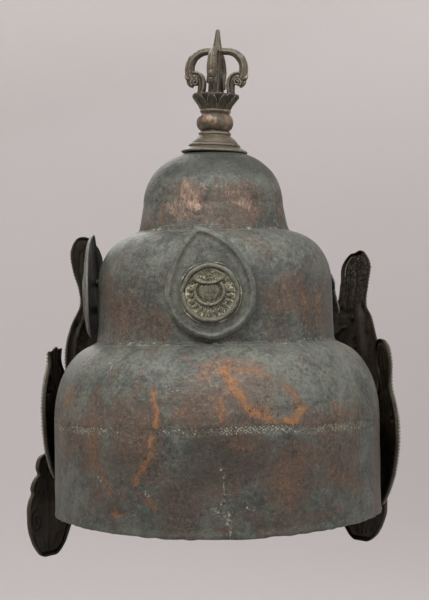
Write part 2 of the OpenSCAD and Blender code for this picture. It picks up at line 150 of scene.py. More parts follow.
def capped(rings):
    """Points, quads and triangles of a closed surface through rings of points, with a fan at each end."""
    rows, n = rings.shape[:2]
    flat = rings.reshape(-1, 3)
    v = np.concatenate([flat, [rings[0].mean(0)], [rings[-1].mean(0)]])
    return v, grid_quads(rows, n, False, True), end_caps(len(flat), n)


def padded(field):
    """A field over the points of capped, with 0 at its two middle points."""
    return np.concatenate([np.ravel(field), [0, 0]])


def volume_sign(v, quads, tris):
    total = 0.0
    sets = [tris] if len(tris) else []
    if len(quads):
        sets += [quads[:, [0, 1, 2]], quads[:, [0, 2, 3]]]
    centre = v.mean(0)
    for f in sets:
        a, b, c = v[f[:, 0]] - centre, v[f[:, 1]] - centre, v[f[:, 2]] - centre
        total += np.einsum("ij,ij->i", a, np.cross(b, c)).sum()
    return total


def curvature(me):
    """Per vertex: how sharply the surface rises (red), sinks (green), and sinks more broadly (blue)."""
    count = len(me.vertices)
    co, edges = np.zeros(count * 3), np.zeros(len(me.edges) * 2, int)
    me.vertices.foreach_get("co", co)
    me.edges.foreach_get("vertices", edges)
    co, edges = co.reshape(-1, 3) / MM, edges.reshape(-1, 2)
    normal = np.zeros(count * 3)
    me.vertices.foreach_get("normal", normal)
    normal = normal.reshape(-1, 3)
    a, b = edges.T
    d = co[b] - co[a]
    square = np.maximum((d * d).sum(1), 1e-4)
    bend = np.concatenate([(normal[a] * d).sum(1), -(normal[b] * d).sum(1)]) / np.tile(square, 2) * 2
    ends = np.concatenate([a, b])
    others = np.concatenate([b, a])
    share = np.maximum(np.bincount(ends, minlength=count), 1)
    turn = np.bincount(ends, weights=bend, minlength=count) / share

    def spread(x, times):
        for _ in range(times):
            x = 0.5 * x + 0.5 * np.bincount(ends, weights=x[others], minlength=count) / share
        return x
    near = spread(turn, 1)
    far = spread(near, 9)
    return rgb(ease(-near, 0.06, 0.9), ease(near, 0.05, 0.8), ease(far, 0.02, 0.35))


class Shape:
    """Gathers closed surfaces in millimetres and turns them into one piece."""

    def __init__(self):
        self.v, self.q, self.t, self.stain, self.wear = [], [], [], [], []
        self.count = 0

    def add(self, v, quads=(), tris=(), stain=(0, 0, 0), wear=(0, 0, 0)):
        v = np.asarray(v, float).reshape(-1, 3)
        quads = np.asarray(quads, int).reshape(-1, 4)
        tris = np.asarray(tris, int).reshape(-1, 3)
        if volume_sign(v, quads, tris) < 0:
            quads, tris = quads[:, ::-1], tris[:, ::-1]
        self.v.append(v)
        self.q.append(quads + self.count)
        self.t.append(tris + self.count)
        for kept, given in ((self.stain, stain), (self.wear, wear)):
            kept.append(np.broadcast_to(np.reshape(given, (-1, 3)), v.shape))
        self.count += len(v)
        return self

    def build(self, name, material, slot, replaces):
        v = np.concatenate(self.v) * MM
        quads, tris = np.concatenate(self.q), np.concatenate(self.t)
        me = bpy.data.meshes.new(name)
        me.vertices.add(len(v))
        me.vertices.foreach_set("co", v.ravel())
        me.loops.add(quads.size + tris.size)
        me.loops.foreach_set("vertex_index", np.concatenate([quads.ravel(), tris.ravel()]))
        me.polygons.add(len(quads) + len(tris))
        starts = np.concatenate([np.arange(len(quads)) * 4, quads.size + np.arange(len(tris)) * 3])
        me.polygons.foreach_set("loop_start", starts)
        me.update(calc_edges=True)
        me.validate()
        me.polygons.foreach_set("use_smooth", np.ones(len(me.polygons), bool))
        for label, rows in (("stain", self.stain), ("wear", self.wear), ("form", [curvature(me)])):
            data = me.attributes.new(label, "FLOAT_COLOR", "POINT").data
            rgba = np.ones((len(v), 4))
            rgba[:, :3] = np.clip(np.concatenate(rows), 0, 1)
            data.foreach_set("color", rgba.ravel())
        me.materials.append(material)
        piece = bpy.data.objects.new(name, me)
        scene.collection.objects.link(piece)
        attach(piece, "root")
        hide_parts(*replaces)


def rgb(r=0.0, g=0.0, b=0.0):
    """Three per-point fields as one array of colours."""
    r, g, b = np.broadcast_arrays(r, g, b)
    return np.stack([r, g, b], -1)


def resample(points, step):
    """Points about step apart along a polyline."""
    points = np.asarray(points, float)
    run = np.concatenate([[0], np.cumsum(np.hypot(*np.diff(points, axis=0).T))])
    n = max(2, int(round(run[-1] / step)) + 1)
    s = np.linspace(0, run[-1], n)
    return np.stack([np.interp(s, run, points[:, 0]), np.interp(s, run, points[:, 1])], 1)


def shoulder(centre_r, centre_z, a, b, n, end_r):
    """Superellipse from the widest point of a tier up to the radius end_r."""
    last = math.acos(((end_r - centre_r) / a) ** (n / 2))
    t = np.linspace(0, last, 160)
    return np.stack([centre_r + a * np.cos(t) ** (2 / n), centre_z + b * np.sin(t) ** (2 / n)], 1)


def profile_normals(loop):
    """Outward normals of a closed profile given as (r, z)."""
    d = np.roll(loop, -1, 0) - np.roll(loop, 1, 0)
    n = np.stack([d[:, 1], -d[:, 0]], 1)
    return n / (np.hypot(n[:, 0], n[:, 1])[:, None] + 1e-9)


def revolved(n, loop):
    """Azimuth, row, radius and height of every point of a profile turned in n steps."""
    az, row = np.meshgrid(around(n), np.arange(len(loop)))
    az, row = az.ravel(), row.ravel()
    return az, row, loop[row, 0], loop[row, 1]


def cylinder_points(az, r, z):
    """Azimuth 0 is -Y, the back of the crown, and 90 degrees is +X."""
    return np.stack([r * np.sin(az), -r * np.cos(az), z + 0 * r * az], -1)


# ---- materials --------------------------------------------------------------------------


class Paint:
    """A procedural material, built node by node."""

    def __init__(self, name):
        self.mat = bpy.data.materials.new(name)
        self.mat.use_nodes = True
        self.tree = self.mat.node_tree
        self.tree.nodes.clear()
        self.coord = self.node("ShaderNodeTexCoord").outputs["Object"]
        self.shader = self.node("ShaderNodeBsdfPrincipled")
        out = self.node("ShaderNodeOutputMaterial")
        self.link(self.shader.outputs[0], out.inputs["Surface"])

    def node(self, kind):
        return self.tree.nodes.new(kind)

    def link(self, a, b):
        self.tree.links.new(a, b)

    def put(self, value, socket):
        if isinstance(value, bpy.types.NodeSocket):
            self.link(value, socket)
        elif hasattr(value, "__len__"):
            socket.default_value = tuple(value) + (1,) * (len(socket.default_value) - len(value))
        else:
            socket.default_value = value

    def noise(self, scale, detail=4.0, rough=0.55, warp=0.0, stretch=None, shift=0.0):
        n = self.node("ShaderNodeTexNoise")
        vector = self.coord
        if stretch or shift:
            m = self.node("ShaderNodeMapping")
            m.inputs["Scale"].default_value = stretch or (1, 1, 1)
            m.inputs["Location"].default_value = (shift, shift * 1.7, shift * 0.6)
            self.link(vector, m.inputs["Vector"])
            vector = m.outputs[0]
        self.link(vector, n.inputs["Vector"])
        n.inputs["Scale"].default_value = scale
        n.inputs["Detail"].default_value = detail
        n.inputs["Roughness"].default_value = rough
        n.inputs["Distortion"].default_value = warp
        return n.outputs["Fac"]

    def cells(self, scale, shift=0.0):
        n = self.node("ShaderNodeTexVoronoi")
        m = self.node("ShaderNodeMapping")
        m.inputs["Location"].default_value = (shift, shift * 1.3, shift * 0.7)
        self.link(self.coord, m.inputs["Vector"])
        self.link(m.outputs[0], n.inputs["Vector"])
        n.inputs["Scale"].default_value = scale
        return n.outputs["Distance"]

    def field(self, name, channel):
        a = self.node("ShaderNodeAttribute")
        a.attribute_name = name
        s = self.node("ShaderNodeSeparateColor")
        self.link(a.outputs["Color"], s.inputs[0])
        return s.outputs[channel]

    def math(self, op, a, b):
        n = self.node("ShaderNodeMath")
        n.operation = op
        self.put(a, n.inputs[0])
        self.put(b, n.inputs[1])
        return n.outputs[0]

    def plus(self, a, b):
        return self.math("ADD", a, b)

    def minus(self, a, b):
        return self.math("SUBTRACT", a, b)

    def times(self, a, b):
        return self.math("MULTIPLY", a, b)

    def most(self, a, b):
        return self.math("MAXIMUM", a, b)

    def span(self, value, low, high, to_low=0.0, to_high=1.0):
        n = self.node("ShaderNodeMapRange")
        n.interpolation_type = "SMOOTHSTEP"
        self.put(value, n.inputs["Value"])
        self.put(low, n.inputs["From Min"])
        self.put(high, n.inputs["From Max"])
        self.put(to_low, n.inputs["To Min"])
        self.put(to_high, n.inputs["To Max"])
        return n.outputs[0]

    def mix(self, factor, a, b):
        n = self.node("ShaderNodeMix")
        n.data_type = "RGBA"
        self.put(factor, n.inputs[0])
        self.put(a, n.inputs[6])
        self.put(b, n.inputs[7])
        return n.outputs[2]

    def bump(self, height, strength, distance, below=None):
        n = self.node("ShaderNodeBump")
        n.inputs["Strength"].default_value = strength
        n.inputs["Distance"].default_value = distance
        self.link(height, n.inputs["Height"])
        if below is not None:
            self.link(below, n.inputs["Normal"])
        return n.outputs[0]


def linear(r, g, b):
    """Linear colour from 8-bit sRGB numbers."""
    def one(c):
        c /= 255
        return c / 12.92 if c <= 0.04045 else ((c + 0.055) / 1.055) ** 2.4
    return one(r), one(g), one(b)


def patina(name, dark, light, brown, brown_share, buff, copper, orange, rough=0.5, metal=0.2,
           grain=1.0, speck=0.5, seed=0.0, crease_dirt_and_shade=0.8, lift_up=0.5, bloom=None, bloom_share=0.7,
           gloss=0.4):
    """Weathered copper: grey-green skin, brown mottling, buff deposit, orange stains, rubbed copper."""
    m = Paint(name)
    broad = m.noise(26, 6, 0.6, 0.6, shift=seed)
    cloud = m.noise(90, 8, 0.65, 0.3, shift=seed + 3)
    fine = m.noise(420, 6, 0.7, shift=seed + 5)
    grit = m.noise(1100, 4, 0.75, shift=seed + 8)
    tone = m.plus(m.times(broad, 0.40), m.times(cloud, 0.60))
    colour = m.mix(m.span(tone, 0.40, 0.60), dark, light)
    # brown mottling, thicker where the wear field says
    rust_noise = m.noise(75, 10, 0.72, 0.8, shift=seed + 11)
    want = m.plus(m.times(m.field("wear", 0), 0.30), brown_share)
    edge = m.minus(1.0, want)
    brown_mask = m.span(rust_noise, m.minus(edge, 0.12), m.plus(edge, 0.09))
    brown_mask = m.times(brown_mask, m.span(fine, 0.30, 0.62, 0.25, 1.0))
    colour = m.mix(brown_mask, colour, brown)
    # cool grey-green bloom
    cool = m.times(m.field("wear", 2), m.span(cloud, 0.32, 0.60, 0.15, 1.0))
    colour = m.mix(m.times(cool, bloom_share), colour, bloom or [c * 1.04 for c in light])
    # orange stains
    grain_noise = m.noise(300, 8, 0.8, 0.4, shift=seed + 15)
    wanted = m.field("stain", 0)
    stain = m.span(m.plus(wanted, m.times(m.minus(grain_noise, 0.5), 2.0)), 0.30, 1.05)
    stain = m.times(stain, m.span(wanted, 0.05, 0.5, 0.0, 0.85))
    halo = m.times(m.span(wanted, 0.02, 0.45), m.span(cloud, 0.35, 0.6, 0.25, 0.75))
    colour = m.mix(halo, colour, [a * 0.75 + b * 0.25 for a, b in zip(brown, orange)])
    colour = m.mix(stain, colour, orange)
    # rubbed copper
    rub = m.field("stain", 2)
    scratch = m.noise(300, 8, 0.8, 0.6, stretch=(1, 1, 0.4), shift=seed + 21)
    streak = m.noise(900, 5, 0.8, 0.2, stretch=(1, 1, 0.3), shift=seed + 23)
    scratch = m.plus(m.times(scratch, 0.55), m.times(streak, 0.45))
    rubbed = m.span(m.plus(rub, m.times(m.minus(scratch, 0.5), 4.0)), 0.45, 1.35)
    rubbed = m.times(rubbed, m.span(rub, 0.02, 0.4))
    colour = m.mix(rubbed, colour, copper)
    # fine mottling: every grain lighter or darker than its neighbours
    mottle = m.plus(m.times(fine, 0.55), m.times(grit, 0.45))
    where = m.span(m.noise(38, 5, 0.6, shift=seed + 41), 0.38, 0.62, 0.45, 1.0)
    low = m.times(m.span(mottle, 0.49, 0.41, 0.0, 0.72 * grain), where)
    colour = m.mix(low, colour, [c * 0.30 for c in dark])
    colour = m.mix(m.span(mottle, 0.52, 0.61, 0.0, 0.42 * grain), colour, [min(1, c * 1.75) for c in light])
    # creases are darkened with dirt and painted shade, and edges are rubbed light
    ridge_mask = m.times(m.field("form", 0), m.span(fine, 0.3, 0.6, 0.35, 1.0))
    colour = m.mix(m.times(ridge_mask, lift_up), colour, [min(1, c * 1.9) for c in light])
    fold_dirt_and_shade = m.most(m.field("form", 1), m.times(m.field("form", 2), 0.7))
    colour = m.mix(m.times(fold_dirt_and_shade, crease_dirt_and_shade), colour, [c * 0.22 for c in dark])
    # dirt in the hollows, and painted shade, from the wear field's green
    dirt_and_shade = m.field("wear", 1)
    colour = m.mix(m.times(dirt_and_shade, 0.85), colour, [c * 0.25 for c in dark])
    # buff deposit and specks
    crust = m.field("stain", 1)
    crusty = m.noise(620, 6, 0.85, shift=seed + 31)
    scab = m.span(m.plus(crust, m.times(m.minus(crusty, 0.5), 3.2)), 0.58, 0.95)
    scab = m.times(scab, m.span(crust, 0.01, 0.3))
    dots = m.span(m.cells(420, shift=seed), 0.12, 0.05)
    dots = m.times(dots, m.span(cloud, 0.50, 0.60, 0.0, speck))
    colour = m.mix(m.most(scab, dots), colour, buff)
    m.put(colour, m.shader.inputs["Base Color"])
    shine = m.minus(rough + 0.1, m.times(fine, 0.2))
    shine = m.minus(shine, m.times(rubbed, 0.10))
    shine = m.plus(shine, m.times(m.most(scab, stain), 0.25))
    m.put(shine, m.shader.inputs["Roughness"])
    m.put(m.plus(metal, m.times(rubbed, 0.3)), m.shader.inputs["Metallic"])
    m.shader.inputs["Specular IOR Level"].default_value = gloss
    lift = m.plus(m.times(fine, 0.6), m.times(grit, 0.4))
    lift = m.plus(lift, m.times(scab, 0.4))
    normal = m.bump(lift, 0.9 * grain, 0.0006)
    normal = m.bump(cloud, 0.6, 0.0012, normal)
    m.put(normal, m.shader.inputs["Normal"])
    return m.mat


BUFF = linear(156, 153, 136)
ORANGE = linear(140, 96, 58)
COPPER = linear(150, 126, 108)
body_paint = patina("body_patina", linear(59, 63, 58), linear(91, 94, 86), linear(83, 64, 52), 0.40,
                    BUFF, COPPER, ORANGE, rough=0.5, metal=0.15, grain=1.15, speck=0.7)
plaque_paint = patina("plaque_patina", linear(68, 71, 65), linear(93, 95, 87), linear(82, 69, 57), 0.32,
                      BUFF, COPPER, ORANGE, rough=0.5, metal=0.15, seed=40.0)
medallion_paint = patina("medallion_patina", linear(70, 70, 58), linear(104, 103, 86), linear(86, 78, 61),
                         0.28, linear(188, 184, 155), COPPER, ORANGE, rough=0.55, metal=0.1, seed=60.0,
                         speck=0.5, crease_dirt_and_shade=0.9, lift_up=0.36, grain=1.0)
# the leaves' near-black colours are darker patina and painted shade of their backs; their fronts are lifted
# by the bloom
leaf_paint = patina("leaf_patina_and_shade", linear(11, 9, 4), linear(27, 23, 11), linear(36, 25, 11), 0.5,
                    linear(120, 117, 94), linear(98, 88, 68), linear(96, 74, 46), rough=0.55, metal=0.1,
                    seed=80.0, speck=0.5, lift_up=0.28, bloom=linear(106, 106, 94), bloom_share=0.95,
                    gloss=0.2)
bezel_paint = patina("bezel_patina", linear(72, 73, 64), linear(96, 96, 84), linear(84, 76, 62), 0.28,
                     linear(186, 182, 156), COPPER, ORANGE, rough=0.5, metal=0.1, seed=70.0, speck=0.6,
                     crease_dirt_and_shade=1.0, lift_up=0.22)
trim_paint = patina("trim_patina", linear(64, 62, 52), linear(104, 102, 90), linear(84, 68, 54), 0.34,
                    linear(160, 154, 128), COPPER, ORANGE, rough=0.5, metal=0.15, seed=100.0)
finial_paint = patina("finial_patina", linear(57, 57, 48), linear(90, 90, 78), linear(78, 63, 48), 0.46,
                      linear(150, 140, 108), linear(150, 122, 104), linear(132, 98, 68), rough=0.42,
                      metal=0.25, seed=120.0, speck=0.45, grain=0.95, crease_dirt_and_shade=0.95, lift_up=0.6)

# ---- the three tiers of the body ----------------------------------------------------------

WALL = 1.6
LOW = dict(r=97.2, centre=(62.0, 60.0), rise=48.0, n=2.2, neck=71.0)
MID = dict(r=70.1, centre=(38.0, 138.0), rise=35.0, n=2.3, neck=44.7)
TOP = dict(r=41.8, centre=(0.0, 189.0), rise=33.0, n=2.2, neck=3.4)
MID_MARKS_R, TOP_MARKS_R = 70.5, 42.5          # radii on which the marks and dents of these tiers are placed


def tier_curve(tier, inside=0.0):
    cr, cz = tier["centre"]
    return shoulder(cr, cz, tier["r"] - inside - cr, tier["rise"] - inside, tier["n"], tier["neck"])


def strokes(az, z, radius, marks, seed):
    """Strength of painted marks at azimuth az (radians) and height z.

    Each mark is (points, width, strength), with its points in degrees and millimetres.
    """
    x, y = az * radius, z
    p = plane(x, y)
    x = x + 2.2 * noise(p, 9, seed) + 1.0 * noise(p, 3.5, seed + 1)
    y = y + 2.2 * noise(p, 9, seed + 2) + 1.0 * noise(p, 3.5, seed + 3)
    total = np.zeros(np.shape(x))
    for points, width, strength in marks:
        line = [(math.radians(a) * radius, h) for a, h in points]
        if len(line) == 1:
            d = np.hypot(x - line[0][0], y - line[0][1])
        else:
            d = to_line(x, y, line)
        total = np.maximum(total, strength * np.exp(-(d / width) ** 2))
    return total


def patches(az, z, radius, blobs, seed):
    """As strokes, for soft blobs: (deg, mm, half width, half height, strength)."""
    x, y = az * radius, z
    p = plane(x, y)
    x = x + 5 * noise(p, 16, seed) + 2 * noise(p, 5, seed + 1)
    y = y + 5 * noise(p, 16, seed + 2) + 2 * noise(p, 5, seed + 3)
    total = np.zeros(np.shape(x))
    for a, h, w, t, strength in blobs:
        d = np.hypot((x - math.radians(a) * radius) / w, (y - h) / t)
        total = np.maximum(total, strength * ease(1.25 - d, 0, 0.8))
    return total


def warp(az, z, r):
    """How far the beaten wall strays from a true surface of revolution, outwards and upwards."""
    p = cylinder_points(az, r, z)
    out = 0.55 * noise(p, 62, 3) + 0.28 * noise(p, 27, 4) + 0.10 * noise(p, 11, 5)
    # the rim rises towards the sides, over the ears
    saddle = 5.2 * np.sin(az) ** 2 + 0.5 * noise(p * [1, 1, 0], 22, 6) * np.abs(np.sin(az))
    up = saddle * np.exp(-np.maximum(z, 0) / 13)
    return out, up


def dents(az, z, radius, marks):
    x = az * radius
    total = np.zeros(np.shape(x))
    for a, h, w, t, depth in marks:
        total += depth * np.exp(-((x - math.radians(a) * radius) / w) ** 2 - ((z - h) / t) ** 2)
    return total


def skin(p, seed):
    """Fine relief of beaten and corroded sheet, in millimetres."""
    near = cells(p, 8.5, seed)
    return 0.10 * (0.5 - near) + 0.07 * fbm(p, 5, seed + 3, 3) + 0.05 * fbm(p, 1.9, seed + 9, 2)


LOW_DENTS = [(-35.5, 20, 8, 6, 0.9), (-35.5, 12.6, 5, 2.0, -1.3), (7.5, 63.5, 8, 2.2, -0.5),
             (40, 30, 14, 12, -0.6), (-58, 45, 16, 20, 0.5), (62, 60, 14, 20, -0.5), (150, 40, 12, 10, -0.8),
             (-140, 70, 14, 9, -0.7), (100, 24, 9, 7, -0.6), (-95, 50, 12, 10, -0.6), (12, 96, 15, 6, -0.5),
             (-20, 40, 14, 16, -0.35)]
BAND_LOW, BAND_HIGH = 55.2, 63.4
BAND_SEGMENTS = 4          # the band is cut finer than the rest by this factor
MOTIFS = 116               # lozenges round the band
MOTIF = 2 * math.pi * LOW["r"] / MOTIFS


def band_centre(az):
    return 59.1 + 0.5 * np.sin(3 * az + 0.6) + 0.3 * np.sin(7 * az)


def punched(az, z):
    """Depth share of a punched border: a chain of lozenges with dots above and below the joins."""
    x = (az * LOW["r"]) % MOTIF - MOTIF / 2
    y = z - band_centre(az)
    p = cylinder_points(az, LOW["r"], z)
    x = x + 0.20 * noise(p, 2.6, 31)
    y = y + 0.22 * noise(p, 3.0, 32)
    lozenge = np.abs(np.abs(x) / 2.35 + np.abs(y) / 1.75 - 1) * 1.4
    joint = MOTIF / 2 - np.abs(x)
    dots = np.maximum(np.hypot(joint, np.abs(y) - 1.7) - 0.25, 0)
    heart = np.maximum(np.hypot(x, y) - 0.25, 0)
    d = np.minimum(np.minimum(lozenge, dots), heart)
    worn = ease(noise(p, 24, 33) + 0.5 * noise(p, 7, 34), -0.75, 0.35)
    return np.exp(-(d / 0.48) ** 2) * (0.40 + 0.60 * worn)


def low_fields(az, z):
    r = LOW["r"]
    orange = strokes(az, z, r, [
        ([(-22.8, 80.5), (-19.9, 72.4), (-19.1, 63.1)], 2.0, 0.95),
        ([(-20.2, 56), (-23.9, 43.7), (-27.7, 30.9)], 1.7, 0.95),
        ([(-43.7, 34.2), (-41.4, 29.9), (-39.2, 24.5)], 1.7, 0.8),
        ([(-25.9, 27.1), (-22.7, 20.6), (-21.3, 15.8)], 1.7, 0.75),
        ([(3.1, 92.6), (4.6, 83.4), (8.7, 75.4)], 2.4, 1.0),
        ([(8.7, 75.4), (14.2, 69.0), (19.9, 65.9), (26.4, 64.4), (29.6, 69.7)], 2.3, 0.95),
        ([(29.6, 69.7), (27.0, 77.0), (23.8, 83.7)], 1.8, 0.6),
        ([(-5.6, 89.7), (-1, 93.5), (5.1, 95.9), (12, 93.5), (18.2, 88.9)], 3.4, 0.5),
        ([(1.1, 79.4), (1.0, 66.7)], 1.7, 0.75),
        ([(4.1, 54.0), (11.3, 48.8)], 2.6, 0.7),
        ([(5.6, 33), (5.5, 24.5)], 1.8, 0.55),
        ([(41.5, 70), (46, 69.6)], 1.5, 0.6),
        ([(42.6, 33.5)], 4.2, 0.55),
        ([(-35.5, 12.4)], 2.4, 0.9),
        ([(20, 36), (21, 26)], 3.0, 0.4),
        ([(27, 38), (28, 24)], 2.2, 0.42),
        ([(-46, 60), (-45, 37)], 3.0, 0.42),
        ([(-33, 52), (-31, 46)], 2.6, 0.36),
        ([(-10, 72), (-12, 69)], 3.2, 0.42),
        ([(40, 62), (48, 62)], 3.0, 0.4),
        ([(52, 30), (56, 20)], 3.0, 0.3),
        ([(120, 80), (124, 50), (119, 30)], 3.0, 0.6), ([(-150, 60), (-146, 30)], 2.6, 0.5),
        ([(168, 90), (175, 70)], 3.4, 0.5), ([(-100, 86), (-97, 60)], 2.6, 0.5),
    ], 201)
    haze = patches(az, z, r, [
        (-1, 92, 9, 6, 0.5), (10, 96, 12, 4, 0.5), (8, 84, 6, 10, 0.45), (20, 68, 16, 5, 0.5),
        (29, 76, 5, 9, 0.45), (24, 33, 10, 15, 0.42), (22, 18, 8, 8, 0.3), (-26, 56, 4, 16, 0.3),
        (-46, 56, 5, 20, 0.36), (-42, 34, 5, 8, 0.36), (-21, 78, 5, 8, 0.36), (1, 74, 4, 10, 0.34),
        (6, 52, 12, 6, 0.34), (33, 44, 14, 9, 0.32), (42, 33, 8, 4, 0.42), (50, 66, 14, 4, 0.3),
        (-9, 71, 7, 5, 0.3), (56, 24, 12, 8, 0.25), (-62, 76, 12, 10, 0.3), (-35.5, 13, 5, 3, 0.5),
        (120, 66, 12, 22, 0.45), (-148, 46, 10, 20, 0.4), (172, 80, 12, 16, 0.4), (92, 60, 10, 14, 0.3)], 207)
    orange = np.maximum(orange, haze)
    brown = patches(az, z, r, [
        (0, 76, 30, 22, 0.9), (14, 84, 26, 16, 0.85), (23, 34, 20, 22, 1.0), (-47, 58, 14, 26, 0.75),
        (-62, 62, 20, 24, 0.6), (-28, 55, 18, 30, 0.7), (4, 44, 30, 22, 0.75), (44, 44, 26, 26, 0.5),
        (-38, 24, 20, 14, 0.45), (-12, 24, 20, 20, 0.5), (38, 62, 22, 8, 0.6), (24, 10, 40, 10, 0.5),
        (80, 30, 26, 40, 0.7), (120, 60, 40, 40, 0.8), (-120, 50, 40, 40, 0.8), (170, 50, 50, 50, 0.7),
    ], 211)
    crust = strokes(az, z, r, [
        ([(0.8, 40), (1.6, 28), (2.6, 16), (3.7, 1.2)], 1.9, 0.70),
        ([(-1.0, 17.6), (2.8, 13.0)], 4.2, 0.70),
        ([(8.7, 20.0), (11.0, 16.0)], 1.0, 0.9),
        ([(-45.3, 96.2), (-42.6, 94), (-42.5, 90.7)], 0.7, 1.0),
        ([(-17, 85), (-14.7, 83.0), (-11, 80)], 3.0, 0.62),
        ([(-43.5, 33.5), (-40, 27)], 1.5, 0.8),
        ([(-25, 27), (-23, 23)], 1.4, 0.75),
        ([(60, 12), (64, 8)], 2.0, 0.4), ([(-66, 10)], 3.0, 0.45), ([(28, 94)], 2.4, 0.35),
        ([(-52, 92), (-30, 99)], 4.0, 0.3), ([(38, 74)], 2.4, 0.4), ([(50, 90)], 3.0, 0.3),
    ], 221)
    p = cylinder_points(az, r, z)
    edge = np.exp(-np.maximum(z, 0) / 2.2)
    ledge = ease(z, 101, 107.5)
    crust = np.maximum(crust, 0.42 * ledge * (0.6 + 0.8 * noise(p, 12, 224)))
    crust = np.maximum(crust, 0.30 * edge)
    crust = np.maximum(crust, 0.16 * ease(z, 84, 100))
    along_band = np.exp(-((z - band_centre(az)) / 2.6) ** 2)
    crust = np.maximum(crust, 0.30 * along_band * ease(noise(p, 20, 226) + 0.6 * noise(p, 5, 227), -0.5, 0.8))
    dirt_and_shade = 0.25 * ease(-noise(p, 24, 231) - 0.1) * ease(70 - z, 0, 40)
    # dark patches; the one at 7.5 degrees and 64.5 mm is the painted shadow of the crease there
    dark = patches(az, z, r, [(22.7, 71, 9.5, 4.6, 1.0), (7.5, 64.5, 8, 1.8, 0.5), (2, 58, 3, 9, 0.4),
                              (12, 44, 6, 6, 0.4), (-4, 32, 8, 10, 0.4), (22, 30, 8, 8, 0.3)], 233)
    dirt_and_shade = np.maximum(dirt_and_shade, 0.36 * dark)
    # painted shade: the wall is darker towards the bottom, most at the back
    dirt_and_shade = np.maximum(dirt_and_shade, 0.46 * ease(58 - z, 0, 14) * (1 - 0.75 * ease(np.abs(az), 0.45, 1.1)))
    dirt_and_shade = np.maximum(dirt_and_shade, patches(az, z, r, [(2, 42, 34, 22, 0.74), (-14, 28, 16, 12, 0.6),
                                               (30, 50, 16, 9, 0.4), (20, 20, 20, 10, 0.45)], 234))
    cool = ease(z, 60, 98) * 0.75 * ease(noise(p, 40, 235) + 0.5)
    cool = np.maximum(cool, patches(az, z, r, [(22.7, 71, 10, 4.8, 1.0), (36, 40, 10, 14, 0.5),
                                               (-8, 44, 16, 14, 0.6), (-54, 74, 18, 12, 0.8),
                                               (-60, 24, 16, 16, 0.7), (48, 90, 20, 12, 0.8)], 237))
    brown = brown * (1 - 0.8 * patches(az, z, r, [(22.7, 71, 10, 5, 1.0)], 238))
    orange = orange * (1 - 0.9 * patches(az, z, r, [(22.7, 71, 7.5, 3.4, 1.0)], 239))
    return orange, crust, brown, dirt_and_shade, cool


def banded_revolve(n, rows_out, rows_in, band):
    """Faces of a revolve whose rows from band[0] to band[1] have BAND_SEGMENTS times the segments."""
    k = BAND_SEGMENTS
    sizes = [n * k if band[0] <= i <= band[1] else n for i in range(rows_out + rows_in)]
    starts = np.concatenate([[0], np.cumsum(sizes)])
    quads, tris = [], []
    rows = rows_out + rows_in
    for i in range(rows):
        j = (i + 1) % rows
        a, b = starts[i], starts[j]
        if sizes[i] == sizes[j]:
            c = np.arange(sizes[i])
            after = (c + 1) % sizes[i]
            quads.append(np.stack([a + c, a + after, b + after, b + c], 1))
            continue
        fine, coarse, flip = (a, b, True) if sizes[i] > sizes[j] else (b, a, False)
        c = np.arange(n)
        near, far = coarse + c, coarse + (c + 1) % n
        for s in range(k):
            f0, f1 = fine + c * k + s, fine + (c * k + s + 1) % (n * k)
            corner = near if s < k // 2 else far
            t = np.stack([corner, f1, f0], 1)
            tris.append(t[:, ::-1] if flip else t)
        middle = fine + c * k + k // 2
        t = np.stack([near, far, middle], 1)
        tris.append(t[:, ::-1] if flip else t)
    return sizes, np.concatenate(quads), np.concatenate(tris)


def make_lower_tier():
    n = 384
    rim = [(95.75, 0.0), (96.0, -0.05), (97.1, 0.0), (97.4, 0.35), (97.5, 1.2), (97.45, 2.4), (97.1, 3.8)]
    below = resample([rim[-1], (LOW["r"], BAND_LOW)], 1.5)
    band = [(LOW["r"], z) for z in np.linspace(BAND_LOW, BAND_HIGH, 25)]
    curve = tier_curve(LOW)
    above = resample([band[-1]] + [q for q in curve if q[1] > BAND_HIGH], 1.35)
    outer = np.array(rim + list(below[1:]) + band[1:] + list(above[1:]))
    first = len(rim) + len(below) - 1
    inner = resample([(95.6, 0.3)] + list(tier_curve(LOW, WALL)), 3.0)[::-1]
    loop = np.concatenate([outer, inner])
    sizes, quads, tris = banded_revolve(n, len(outer), len(inner), (first, first + len(band) - 2))
    normals = profile_normals(loop)
    az = np.concatenate([around(s) for s in sizes])
    az = (az + math.pi) % (2 * math.pi) - math.pi
    row = np.repeat(np.arange(len(loop)), sizes)
    r, z = loop[row, 0], loop[row, 1]
    outside = row < len(outer)
    out, up = warp(az, z, LOW["r"])
    out = out + dents(az, z, LOW["r"], LOW_DENTS)
    out = out * ease(107.0 - z, 0, 6)
    p = cylinder_points(az, r, z)
    fine = skin(p, 41) * np.where(outside, 1.0, 0.6) * ease(106.5 - z, 0, 3)
    orange, crust, brown, dirt_and_shade, cool = low_fields(az, z)
    crusty = 0.25 * crust * (fbm(p, 2.2, 55, 2) + 0.4)
    groove = np.where(outside & (z > BAND_LOW - 0.5) & (z < BAND_HIGH + 0.5), punched(az, z), 0)
    edge_wear = np.where(z < 3, 0.35 * noise(p, 5, 57), 0)
    step = fine + np.where(outside, crusty - 0.34 * groove, 0)
    r2 = r + out + normals[row, 0] * step
    z2 = z + up + normals[row, 1] * step + edge_wear
    v = cylinder_points(az, r2, z2)
    inside = (~outside)[:, None]
    stain = rgb(orange, np.maximum(crust, 0.95 * groove), 0.0)
    wear = rgb(brown, np.maximum(dirt_and_shade, 0.30 * groove), cool)
    stain = np.where(inside, stain * 0.3, stain)
    wear = np.where(inside, rgb(0.7, 0.75, 0.0), wear)
    Shape().add(v, quads, tris, stain, wear).build("tier_lower", body_paint, "body_copper", ["lower_tier"])


